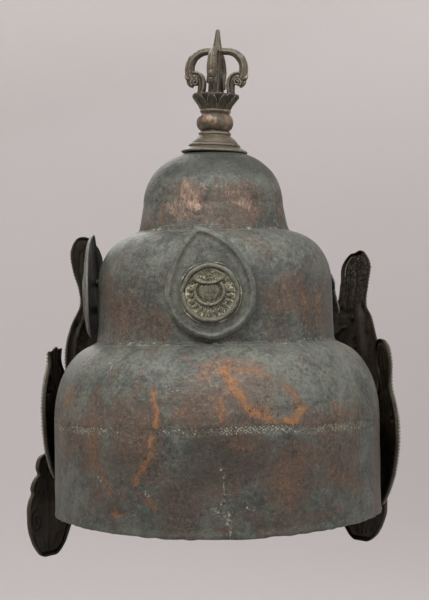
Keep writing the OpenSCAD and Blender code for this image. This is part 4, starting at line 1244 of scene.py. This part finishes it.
def medallion_relief(x, z, k, seed):
    """Relief of a lotus medallion: a seed dish over a ribbed pod, and a ring of petals. k is its scale."""
    x, z = x / k, z / k
    p = plane(x, z)
    near = cells(p, 0.85, seed)
    h = 0.55 + 0.30 * np.sqrt(np.clip(1 - (near / 0.62) ** 2, 0, 1))
    light = 0.35 + 0.25 * (near < 0.4)
    r = np.hypot(x, z)
    gap = ease(r, 8.6, 9.6) * ease(6.5 - z, 0, 2)
    h = h * (1 - gap) + gap * (0.22 + 0.12 * h)
    petals = 11
    for i in range(-1, petals + 1):
        t = 180 + (i + 0.5) * 180.0 / petals          # from nine o'clock through six to three
        c, s = math.cos(math.radians(t)), math.sin(math.radians(t))
        along, across = x * c + z * s - 11.4, -x * s + z * c
        wide = 1.40 + 0.24 * np.clip(along / 2.4, -1, 1)
        d = np.sqrt((along / 2.8) ** 2 + (across / wide) ** 2)
        inside = d < 1.0
        dome = 0.80 * np.sqrt(np.clip(1 - d ** 2, 0, 1))
        h = np.where(inside, np.maximum(h, 0.24 + dome), h)
        rim = np.exp(-((d - 0.86) / 0.20) ** 2) * (0.55 + 0.45 * (along > 0.4))
        light = np.where(inside, 1.10 * rim - 0.42, light)
    light = light + 0.27 * gap * (light > 0.2)
    # thick ring round the pod, open under the dish
    d = np.abs(np.hypot((x + 0.5) / 8.1, (z - 0.9) / 7.5) - 1) * 7.8
    band = np.where(z < 6.0, np.exp(-(d / 0.95) ** 4), 0)
    h = np.where(band > 0.1, np.maximum(h * (1 - band), 0.2 + 1.35 * band), h)
    light = np.where(band > 0.2, 0.10 + 0.5 * (1 - band), light)
    # ribbed pod
    cx, cz = x + 0.7, z - 0.9
    d = np.hypot(cx / 6.4, cz / 5.4)
    waist = np.sqrt(np.clip(1 - (cz / 5.6) ** 2, 0.02, 1))
    lobe = np.abs(np.sin(2.0 * math.pi * np.clip(cx / (6.9 * waist), -1, 1)))
    pod = 0.4 + 1.45 * np.sqrt(np.clip(1 - d ** 2, 0, 1)) * (0.45 + 0.55 * lobe ** 0.55)
    h = np.where(d < 1, pod, h)
    light = np.where(d < 1, 1.1 * (1 - lobe) ** 2 - 0.36, light)
    # dish of seeds, tipped towards the viewer
    d = np.hypot((x + 1.2) / 7.7, (z - 9.4) / 4.0)
    lip = np.exp(-((d - 1) * 4.2 / 1.1) ** 2) * (0.55 + 0.6 * (z < 8.6))
    near = cells(p + 40, 1.05, seed + 1)
    seeds = 0.75 + 0.45 * np.sqrt(np.clip(1 - (near / 0.5) ** 2, 0, 1))
    h = np.where(d < 1.25, np.maximum(np.where(d < 0.9, seeds, 0.4), 0.5 + 1.25 * lip), h)
    light = np.where(d < 1.25, np.where(d < 0.85, 0.25 + 0.35 * (near > 0.45), 0.35 * (1 - lip)), light)
    # flat margin inside the bezel
    return np.where(r > 13.2, 0.45, h), light


def make_medallion(name, node, plaque, z0, radius, seed):
    k = radius / ROUNDEL_R
    size = FACE_R * k
    n, rings = 420, 92
    angle = around(n)
    s = np.concatenate([np.linspace(0.01, 1.0, rings), [1.0, 0.02]])
    s, angle = np.meshgrid(s, angle, indexing="ij")
    x, z = s * size * np.cos(angle), s * size * np.sin(angle)
    h, light = medallion_relief(x, z, k, seed)
    p = plane(x, z)
    h = 1.25 * h + 0.18 * fbm(p, 1.4, seed + 5, 2) - 0.15
    h[rings:] = -0.15
    v = plaque.at(x, z0 + z, 0.15 + h)
    # dirt and painted shade in the low ground, and darker petals
    low = ease(0.75 - h, 0, 0.4)
    dirt_and_shade = padded(0.40 * low * (1 - light) + np.clip(-light, 0, 1))
    Shape().add(*capped(v), rgb(0.0, padded(1.05 * np.clip(light, 0, 1)), 0.0),
                rgb(0.25, dirt_and_shade, padded(0.15 + 0 * h))).build(name, medallion_paint, "trim_copper", [node])


def make_bezel(name, node, plaque, z0, radius, seed):
    k = radius / ROUNDEL_R
    shape = Shape()
    # main wire, whose ends overlap at nine o'clock
    t = np.linspace(0, 1, 260)
    angle = np.radians(186 - 372 * t)
    run = (15.35 + 1.0 * ease(0.07 - t, 0, 0.07) + 0.15 * np.sin(9 * angle)) * k
    thick = (1.28 + 0.10 * np.sin(5 * angle + seed)) * np.clip(np.minimum(t, 1 - t) * 40, 0.35, 1) ** 0.5 * k
    path = plaque.at(run * np.cos(angle), z0 + run * np.sin(angle), 0.75 + 0.35 * ease(0.07 - t, 0, 0.07))
    v, q, caps = tube(path, thick, sides=16, up=plaque.outward(), squash=0.95)
    v = v + 0.10 * np.stack([noise(v, 1.8, seed + c) for c in range(3)], 1)
    shape.add(v, q, caps, stain=rgb(0.0, 0.18 + 0.3 * ease(noise(v, 3.0, seed + 5)), 0.0),
              wear=rgb(0.2, 0.3 * ease(noise(v, 3, seed + 6)), 0.0))
    # thin outer lip, worn away at the top
    for start, stop, r0, size in ((182, 398, 17.0, 0.62), (60, 172, 16.9, 0.5)):
        t = np.linspace(0, 1, 170)
        angle = np.radians(start + (stop - start) * t)
        stray = 0.18 * np.sin(4 * angle + seed)
        run = (r0 + 0.35 + stray + 0.12 * noise(plane(angle * 9, angle), 2, seed)) * k
        thick = size * (0.75 + 0.35 * noise(plane(angle * 12, angle), 3, seed + 9)) * np.clip(
            np.minimum(t, 1 - t) * 14, 0.25, 1) * k
        path = plaque.at(run * np.cos(angle), z0 + run * np.sin(angle), 0.25)
        v, q, caps = tube(path, thick, sides=10, up=plaque.outward())
        shape.add(v, q, caps, stain=rgb(0.0, 0.55 + 0.4 * noise(v, 3.0, seed + 7), 0.0), wear=(0.2, 0.1, 0.3))
    shape.build(name, bezel_paint, "trim_copper", [node])


DROPS = {"back": -2, "front": 180, "left": -91}


def make_teardrops():
    for i, (side, turn) in enumerate(DROPS.items()):
        yaw, out = (-4.5, 0.5) if side == "left" else (0, 0)
        plaque = Plaque(turn, yaw, DROP_Z - DROP_R, 2.45 * DROP_R, 74.2 + out, 74.4 + out, 1.2, 2)
        seed = 901 + 20 * i
        make_teardrop(f"teardrop_{side}", f"{side}_teardrop", plaque, seed)
        make_medallion(f"medallion_{side}", f"{side}_lotus", plaque, DROP_Z, ROUNDEL_R, seed + 9)
        make_bezel(f"bezel_{side}", f"{side}_bezel", plaque, DROP_Z, ROUNDEL_R, seed + 14)


# -- leaves and ears --

def half_outline(keys):
    """Keys (share of height, half width) from foot to tip, and a mirrored key beyond each end."""
    first, last = keys[0], keys[-1]
    return [(first[0], -first[1]), (0, 0)] + keys + [(1, 0), (last[0], -last[1])]


def leaf_keys(b, t):
    """A leaf b wide to each side at its blade and t at its tongue."""
    return half_outline([(0.012, 0.24 * b), (0.10, 0.58 * b), (0.23, 0.90 * b), (0.37, b), (0.5, 0.93 * b),
                         (0.61, 0.66 * b), (0.69, 0.86 * t), (0.76, 0.76 * t), (0.85, 0.98 * t),
                         (0.93, 0.94 * t), (0.985, 0.5 * t)])


def high_leaf_keys(b, t):
    return half_outline([(0.012, 0.24 * b), (0.10, 0.58 * b), (0.23, 0.90 * b), (0.37, b), (0.48, b),
                         (0.56, 0.93 * b), (0.64, 0.68 * b), (0.71, 0.46 * b), (0.76, t), (0.85, 0.96 * t),
                         (0.93, 0.98 * t), (0.985, 0.5 * t)])


def ear_keys(b):
    return half_outline([(0.012, 0.34 * b), (0.13, 0.74 * b), (0.28, 0.97 * b), (0.42, b), (0.55, 0.93 * b),
                         (0.62, 0.74 * b), (0.68, 0.76 * b), (0.76, 0.62 * b), (0.8, 0.44 * b),
                         (0.87, 0.47 * b), (0.95, 0.34 * b)])


def spiral(cx, cz, size, turns, start, hand):
    a = np.linspace(0, turns * 2 * math.pi, int(16 * turns) + 2)
    r = size * (1 - 0.86 * a / a[-1])
    t = math.radians(start) + hand * a
    return np.stack([cx + r * np.cos(t), cz + r * np.sin(t)], 1)


def foliage(q, b, t):
    """Scrolling leaves in repousse, the same on both sides of the centre line."""
    z = q.height
    lines = [([(0, z(0.64)), (0, z(0.95))], 0.9, 1.3)]
    for s in (-1, 1):
        def side(pts):
            return [(s * x, y) for x, y in pts]
        lines += [
            (side(spiral(0.46 * b, z(0.165), 0.25 * b, 1.6, 150, -1)), 1.5, 1.25),
            (side(spiral(0.70 * b, z(0.36), 0.19 * b, 1.5, 240, 1)), 1.3, 1.1),
            (side(spiral(0.40 * b, z(0.575), 0.20 * b, 1.6, 250, 1)), 1.4, 1.15),
            (side([(0.05 * b, z(0.03)), (0.16 * b, z(0.09)), (0.24 * b, z(0.165))]), 1.4, 1.2),
            (side([(0.52 * b, z(0.25)), (0.66 * b, z(0.29)), (0.60 * b, z(0.32))]), 1.2, 1.0),
            (side([(0.74 * b, z(0.46)), (0.60 * b, z(0.52)), (0.34 * b, z(0.52))]), 1.3, 1.1),
            (side([(0.10 * b, z(0.55)), (0.32 * t, z(0.64)), (0.42 * t, z(0.72)), (0.55 * t, z(0.84)),
                   (0.3 * t, z(0.93))]), 1.0, 1.0),
        ]
    return lines


NECK = 0.55, 0.72           # the shares of a leaf's height between which its tongue tilts
CROWD = 1.35                # how far a leaf's columns of points crowd towards its edges, in radians


def make_leaf(name, node, q, keys, seed, lines=(), relief=(), tongue=None, roundel=None, cut=None, chip=0.0,
              rim=0.0, edge_light=0.9, rows=230, gloom=0.35, tilt=0.0, quiet=0.7,
              pale=0.0, ragged_edge=0.0):
    curve = rounded(np.asarray(keys, float), 14)
    order = np.argsort(curve[:, 0], kind="stable")
    share, wide = curve[order, 0], np.maximum(curve[order, 1], 0)
    top = 1.0 if cut is None else cut[0]
    h = top * (0.5 - 0.5 * np.cos(math.pi * np.linspace(0.006, 0.994 if cut is None else 0.62, rows)))
    if cut is not None:
        h = h / h[-1] * top
    u = np.linspace(-1, 1, 75)
    s = np.sin(u * CROWD) / math.sin(CROWD)
    h, s = np.meshgrid(h, s, indexing="ij")
    w = np.interp(h, share, wide)
    edge_points = plane(np.sign(s) * 40, h * q.tall)
    w = w + (0.30 * noise(edge_points, 9, seed) + 0.16 * noise(edge_points, 2.6, seed + 1)) * ease(w, 0, 5)
    tear = noise(edge_points, 13, seed + 15) - 0.3 + 0.35 * noise(edge_points, 5, seed + 16)
    w = w + ragged_edge * tear * ease(w, 0, 8)
    x, z = s * w, q.foot + h * q.tall
    if cut is not None:
        ragged = np.interp(x, [c[0] for c in cut[1]], [c[1] for c in cut[1]])
        ragged = ragged + 0.5 * noise(plane(x, 0 * x), 1.6, seed + 2)
        drop = (q.foot + top * q.tall) - ragged
        z = z - drop * (h / top) ** 9
    if chip:
        z = z - chip * np.exp(-((x - 2.5) / 3.0) ** 2) * ease(h, 0.965, 1.0)
    e = np.minimum((1 - np.abs(s)) * w * 0.95, q.tall * h)
    if cut is None:
        e = np.minimum(e, q.tall * (1 - h))
    p = plane(x, z)
    inner = ease(e, 1.2, 4.5)
    x = x + tilt * ease(h, *NECK)
    form = ridge(x, z, list(lines) + list(relief))
    if roundel:
        form = form * ease(np.hypot(x, z - roundel[0]), roundel[1] - 1.0, roundel[1] + 3.0)
    form = form * quiet
    form = form + 0.9 * noise(p, 24, seed + 3) + 0.4 * noise(p, 10, seed + 4) + 0.15 * noise(p, 4, seed + 5)
    form = form * inner
    if rim:
        form = form + rim * np.exp(-((e - 1.6) / 1.3) ** 2)
    stipple = np.zeros(np.shape(x))
    if tongue:
        near = cells(p, 1.7, seed + 6)
        zone = ease(z, tongue[0], tongue[0] + 8) * ease(e, 0.8, 2.5)
        stipple = zone * np.exp(-(near / 0.33) ** 2)
        form = form - tongue[1] * stipple + 0.9 * zone * np.exp(-((e - 2.6) / 1.0) ** 2)
    fine = 0.06 * fbm(p, 2.0, seed + 7, 3)
    front = form + fine - 0.9 * np.clip(1 - e / 1.3, 0, 1) ** 2
    back = form + fine - SHEET - (2.2 - SHEET) * (1 - ease(e, 0.9, 1.7))
    v = np.concatenate([q.at(x, z, front), q.at(x, z, back)[:, ::-1]], axis=1)

    def both(on_front, on_back):
        return padded(np.concatenate([on_front, on_back[:, ::-1]], axis=1))
    hill = ease(form, 0.3, 1.6)
    speck = 0.5 * ease(noise(p, 3, seed + 8) - 0.5) + 0.16 * ease(noise(p, 13, seed + 9))
    crust_front = speck + 0.25 * hill + 0.3 * np.exp(-((e - 3.0) / 1.2) ** 2) * ease(noise(p, 5, seed + 10))
    hollow = ease(-form, 0.2, 1.8)
    crust_back = speck + 0.30 * hollow + stipple * ease(noise(p, 3.5, seed + 11) + 0.8)
    turned = np.exp(-(e / 1.5) ** 2) * ease(np.sign(pale) * x, -2, 6) * abs(pale)
    crust_back = crust_back + turned
    brown = 0.5 + 0.4 * noise(p, 14, seed + 12)
    # dirt and painted shade on the back, set by gloom and stronger behind the raised relief, less on the
    # turned edge
    dirt_and_shade_back = (gloom + 0.4 * hill) * (1 - np.clip(turned, 0, 1))
    bloom_front = edge_light * (0.3 + 0.7 * ease(e, 0.2, 1.2))
    bloom_back = 0.30 * stipple + 0.5 * turned
    rust_back = 0.25 * ease(noise(p, 11, seed + 13) - 0.2)
    stain = rgb(both(0.10 * hill, rust_back), both(crust_front, crust_back), 0.0)
    wear = rgb(both(brown, brown), both(0.15 + 0 * form, dirt_and_shade_back), both(bloom_front, bloom_back))
    Shape().add(*capped(v), stain, wear).build(name, leaf_paint, "plaque_copper", [node])


def make_border(name, node, q, keys, seed, cut=None, tilt=0.0):
    """A wire with a row of beads along the edge of a leaf's front."""
    curve = rounded(np.asarray(keys, float), 30)
    curve = curve[(curve[:, 0] >= 0) & (curve[:, 1] >= 0)]
    half = np.stack([curve[:, 1], q.foot + curve[:, 0] * q.tall], 1)
    full = np.concatenate([half, half[::-1][1:] * [-1, 1]])
    full = resample(full, 0.7)
    d = np.gradient(full, axis=0)
    n = np.stack([-d[:, 1], d[:, 0]], 1) / (np.hypot(d[:, 0], d[:, 1])[:, None] + 1e-9)
    inner = full + 1.75 * n
    if cut is not None:
        top = np.interp(inner[:, 0], [c[0] for c in cut[1]], [c[1] for c in cut[1]]) - 0.8
        keep = inner[:, 1] < top
        # the unbroken runs on either side of the break, without the shortest
        ids = np.flatnonzero(np.diff(np.concatenate([[0], keep.astype(int), [0]])))
        runs = [inner[a:b] for a, b in ids.reshape(-1, 2) if b - a > 12]
    else:
        runs = [inner]
    runs = [r + np.stack([tilt * ease((r[:, 1] - q.foot) / q.tall, *NECK), 0 * r[:, 1]], 1) for r in runs]
    shape = Shape()
    ball_v = np.concatenate([globe(10, 6, 0.25).reshape(-1, 3), [[0, 0, 1], [0, 0, -1]]])
    ball_q, ball_t = grid_quads(6, 10, False, True), end_caps(60, 10)
    for run in runs:
        line = resample(run, 2.15)
        size = 1.02 + 0.10 * noise(plane(*line.T), 3, seed)
        place = q.at(line[:, 0], line[:, 1], 0.35 + 0.15 * size)
        v = (ball_v[None] * size[:, None, None] + place[:, None]).reshape(-1, 3)
        shift = (np.arange(len(line)) * len(ball_v))[:, None, None]
        shape.add(v, (ball_q[None] + shift).reshape(-1, 4), (ball_t[None] + shift).reshape(-1, 3),
                  stain=rgb(0.0, 0.18 + 0.2 * noise(v, 9, seed + 1), 0.1 * ease(noise(v, 12, seed + 2))),
                  wear=(0.3, 0.1, 0.5))
        fine = resample(run, 1.2)
        path = q.at(fine[:, 0], fine[:, 1], 0.05)
        up = q.outward() + np.array([0.01, 0.02, 0.03])
        v, quads, caps = tube(path, np.full(len(path), 0.75), sides=8, up=up)
        shape.add(v, quads, caps, stain=(0.0, 0.3, 0.0), wear=(0.3, 0.4, 0.3))
    shape.build(name, trim_paint, "trim_copper", [node])


BREAK = [(-40, 97), (-17, 97), (-14, 100), (-12, 103), (-10, 104), (-8, 101.5), (-6, 102), (-4, 103.8),
         (-2, 105), (0, 103.5), (2, 104), (4, 102), (6, 101.5), (9, 102.6), (12, 100.5), (14, 97), (17, 93),
         (40, 93)]
BROKEN = 0.795, BREAK       # the share of the left side leaf that is left, and the line of its break
TILT = -5.8                 # how far the right diagonal leaf's tongue is bent to the side


def make_leaves():
    front = Plaque(180, 0, 20, 168, 102.5, 127, 3, 1.5)
    right = Plaque(137, 0, 18, 146, 102.5, 133, 2, 1.3)
    left = Plaque(-137, 0, 29, 146, 102.5, 126.5, 1, 1.5)
    right_side = Plaque(102, 3, 5, 102, 101, 104.5, 4.5, 1.4)
    left_side = Plaque(-102, -3, 24, 102, 100, 101.5, 1.4, 1.4)
    front_keys, right_keys, left_keys = leaf_keys(38, 14), high_leaf_keys(38, 11.8), leaf_keys(31, 12.6)
    side_keys = leaf_keys(26, 12)
    make_leaf("leaf_front", "front_leaf", front, front_keys, 1001, foliage(front, 38, 14), roundel=(88, 18))
    make_leaf("leaf_right_diagonal", "right_diagonal_leaf", right, right_keys, 1021, foliage(right, 34, 11.8),
              [([(16, 98), (6.8, 107), (-8, 120.5)], -2.0, 1.5),
               ([(-11, 124), (-15, 112), (-19, 98), (-20, 84)], -2.6, 3.4),
               ([(-4, 118), (2, 104), (3, 92)], 2.2, 4.0), ([(-24, 118), (-22, 112)], -1.4, 2.0),
               ([(8, 126), (-2, 122), (-16, 126)], 1.6, 3.0)],
              tongue=(127, 0.6), roundel=(80, 16), chip=1.6, tilt=TILT)
    make_leaf("leaf_left_diagonal", "left_diagonal_leaf", left, left_keys, 1041, foliage(left, 31, 12.6),
              [([(3.4, 146), (8, 134), (14, 122)], -1.6, 2.2),
               ([(5.2, 128), (12, 118), (19, 108), (22, 96)], -2.0, 1.8),
               ([(0, 122), (6, 112), (10, 100)], 1.8, 3.0)],
              roundel=(87, 16))
    make_leaf("leaf_right_side", "right_side_leaf", right_side, side_keys, 1061, foliage(right_side, 26, 12),
              rim=0.5)
    make_leaf("leaf_left_side", "left_side_leaf", left_side, side_keys, 1081, foliage(left_side, 26, 12),
              cut=BROKEN, rim=0.5)
    for name, q, keys, seed in (("front_leaf", front, front_keys, 1101),
                                ("right_diagonal", right, right_keys, 1111),
                                ("left_diagonal", left, left_keys, 1121),
                                ("right_side", right_side, side_keys, 1131)):
        make_border("border_" + name, name + "_border", q, keys, seed, tilt=TILT if q is right else 0.0)
    make_border("border_left_side", "left_side_border", left_side, side_keys, 1141, cut=BROKEN)
    for name, q, z0, r, seed in (("front_leaf", front, 88, 18, 1151), ("right_diagonal", right, 80, 16, 1161),
                                 ("left_diagonal", left, 87, 16, 1171)):
        make_medallion("medallion_" + name, name + "_lotus", q, z0, r, seed)
        make_bezel("bezel_" + name, name + "_bezel", q, z0, r, seed + 5)
    right_ear = Plaque(119, 0, -20, 64, 104, 106, 1, 1)
    left_ear = Plaque(-112, -4, -25.5, 64, 114.6, 115.4, 0.5, 1)
    for side, q, seed in (("right", right_ear, 1181), ("left", left_ear, 1191)):
        z = q.height
        ribs = [([(0, z(0.08)), (0, z(0.5)), (0, z(0.9))], 1.2, 1.6)]
        for s in (-1, 1):
            ribs += [([(s * x, y) for x, y in spiral(14, z(0.36), 7.5, 1.4, 90, -1)], 1.4, 1.3),
                     ([(s * 4, z(0.1)), (s * 9, z(0.2)), (s * 20, z(0.26))], 1.1, 1.4),
                     ([(s * 3, z(0.62)), (s * 9, z(0.66)), (s * 15, z(0.62))], 1.2, 1.3),
                     ([(s * 2, z(0.76)), (s * 7, z(0.80))], 1.0, 1.2)]
        make_leaf(f"ear_{side}", f"{side}_ear_plaque", q, ear_keys(26), seed, ribs, rim=1.8, rows=150,
                  quiet=0.45, edge_light=0.6, gloom=0.15, pale=0.35, ragged_edge=1.6)


def make_scrap():
    """What is left of the fourth teardrop: a torn corner on two pins, bent outwards below."""
    q = Plaque(105, 0, 123, 24, 75.6, 72.8, -0.5, 1)
    left = [(123.0, -4.6), (124.5, -8), (129, -8.8), (133.5, -9.8), (137, -7.8), (142, -8.3), (146, -6.6),
            (147, -5)]
    right = [(123.0, 3), (124, 6), (127, 8), (131, 7), (136, 8.8), (141, 7.3), (144, 3), (147, -2)]
    rows, cols = 70, 44
    z = np.linspace(123.2, 146.6, rows)
    s = np.linspace(0, 1, cols)
    z, s = np.meshgrid(z, s, indexing="ij")
    lo = np.interp(z, [a for a, b in left], [b for a, b in left])
    hi = np.interp(z, [a for a, b in right], [b for a, b in right])
    jag = plane(z, 30 * np.round(s))
    lo, hi = lo + 0.5 * noise(jag, 1.7, 1201), hi + 0.5 * noise(jag, 1.9, 1202)
    x = lo + s * (hi - lo)
    z = z + 0.8 * noise(plane(x, 0 * x), 1.9, 1203) * ease(np.abs(z - 135), 8, 12)
    p = plane(x, z)
    form = 0.5 * noise(p, 7, 1204) + 0.25 * noise(p, 2.6, 1205) + 0.9 * ease(134 - z, 0, 9) * ease(-x, -2, 8)
    v = np.concatenate([q.at(x, z, form), q.at(x, z, form - SHEET * 0.9)[:, ::-1]], axis=1)
    v, quads, caps = capped(v)
    low = 1 - ease(v[:, 2], 132, 138)
    stain, wear = rgb(0.25 * low, 0.55 * low + 0.1, 0.0), rgb(0.5, 0.75 * (1 - low), 0.2)
    Shape().add(v, quads, caps, stain, wear).build(
        "scrap_right", plaque_paint, "plaque_copper", ["right_teardrop_scrap"])


make_teardrops()
make_leaves()
make_scrap()

# ---- stage, light and camera ----------------------------------------------------------------

scene.view_settings.view_transform = "Standard"


# the stage is a floor that curves up into a round wall, in metres; its paper is painted darker low down and
# paler towards the top to even out the light that falls on it, and painted shade darkens it towards +X
FLOOR_Z, WALL_R = -0.20, 2.45
STAGE_LOW, STAGE_HIGH = (0.403, 0.376, 0.373), (0.795, 0.757, 0.753)


def make_stage():
    profile = [(0.0, FLOOR_Z), (0.8, FLOOR_Z), (1.5, FLOOR_Z), (1.9, -0.16), (2.2, -0.04), (2.38, 0.18),
               (WALL_R, 0.5), (WALL_R, 1.2), (WALL_R, 2.0), (WALL_R, 2.6)]
    line = smooth_line(np.array(profile) * 1000, 60) / 1000
    n = 96
    az, _, r, z = revolved(n, line[1:])
    v = np.concatenate([cylinder_points(az, r, z), [[0, 0, FLOOR_Z]]])
    quads = grid_quads(len(line) - 1, n, False, True)[:, ::-1]
    fan = [[len(v) - 1, k, (k + 1) % n] for k in range(n)]
    me = bpy.data.meshes.new("stage")
    me.from_pydata(v.tolist(), [], quads.tolist() + fan)
    me.polygons.foreach_set("use_smooth", [True] * len(me.polygons))
    paint = Paint("stage_paper")
    place = paint.node("ShaderNodeSeparateXYZ")
    paint.link(paint.coord, place.inputs[0])
    # the paper is painted darker low down and paler higher up, to even out the light on it
    low = paint.span(place.outputs[2], FLOOR_Z, 1.3)
    side = paint.span(place.outputs[0], -2.4, 2.4)
    paper_and_painted_shade = paint.mix(low, STAGE_LOW, STAGE_HIGH)
    # painted shade, darker towards +X
    paper_and_painted_shade = paint.mix(paint.times(side, 0.10), paper_and_painted_shade, (0.25, 0.25, 0.26))
    paint.put(paper_and_painted_shade, paint.shader.inputs["Base Color"])
    paint.shader.inputs["Roughness"].default_value = 0.95
    paint.shader.inputs["Specular IOR Level"].default_value = 0.1
    me.materials.append(paint.mat)
    floor = bpy.data.objects.new("stage", me)
    scene.collection.objects.link(floor)


def soft_light(name, place, target, size, watts, colour=(1, 1, 1)):
    data = bpy.data.lights.new(name, "AREA")
    data.shape, data.size, data.energy, data.color = "DISK", size, watts, colour
    lamp = bpy.data.objects.new(name, data)
    aim = (Vector(target) - Vector(place)).to_track_quat("-Z", "Y")
    lamp.matrix_world = Matrix.Translation(place) @ aim.to_matrix().to_4x4()
    scene.collection.objects.link(lamp)


def make_light():
    world = bpy.data.worlds.new("studio")
    scene.world = world
    world.use_nodes = True
    back = world.node_tree.nodes["Background"]
    back.inputs[0].default_value = (1.0, 0.985, 0.97, 1)
    back.inputs[1].default_value = 0.55
    soft_light("key", (-0.55, -1.25, 1.65), (0, 0, 0.12), 0.7, 40, (1.0, 0.985, 0.965))
    soft_light("top", (0.25, -0.35, 2.1), (0, 0, 0.15), 0.9, 17, (1.0, 0.99, 0.98))
    soft_light("fill", (1.6, -0.9, 1.1), (0, 0, 0.12), 1.2, 15, (0.97, 0.985, 1.0))
    soft_light("rear", (-0.5, 1.9, 1.3), (0, 0, 0.12), 1.4, 13, (1.0, 1.0, 1.0))


CAMERA_PLACE, CAMERA_ROLL = (-0.0005, -1.080, 0.123), -0.84      # metres and degrees


def make_camera():
    data = bpy.data.cameras.new("camera")
    data.lens, data.sensor_width, data.shift_y = 108.0, 36.0, 0.025
    data.clip_start, data.clip_end = 0.05, 20
    camera = bpy.data.objects.new("camera", data)
    camera.matrix_world = (Matrix.Translation(CAMERA_PLACE) @ Matrix.Rotation(math.radians(90), 4, "X")
                           @ Matrix.Rotation(math.radians(CAMERA_ROLL), 4, "Z"))
    scene.collection.objects.link(camera)
    scene.camera = camera


make_stage()
make_light()
make_camera()

for kept in ("teardrop_pins", "leaf_rivets", "leaf_spacers", "spindle_washer"):
    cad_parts[kept].data.materials.clear()
    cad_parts[kept].data.materials.append(trim_paint)
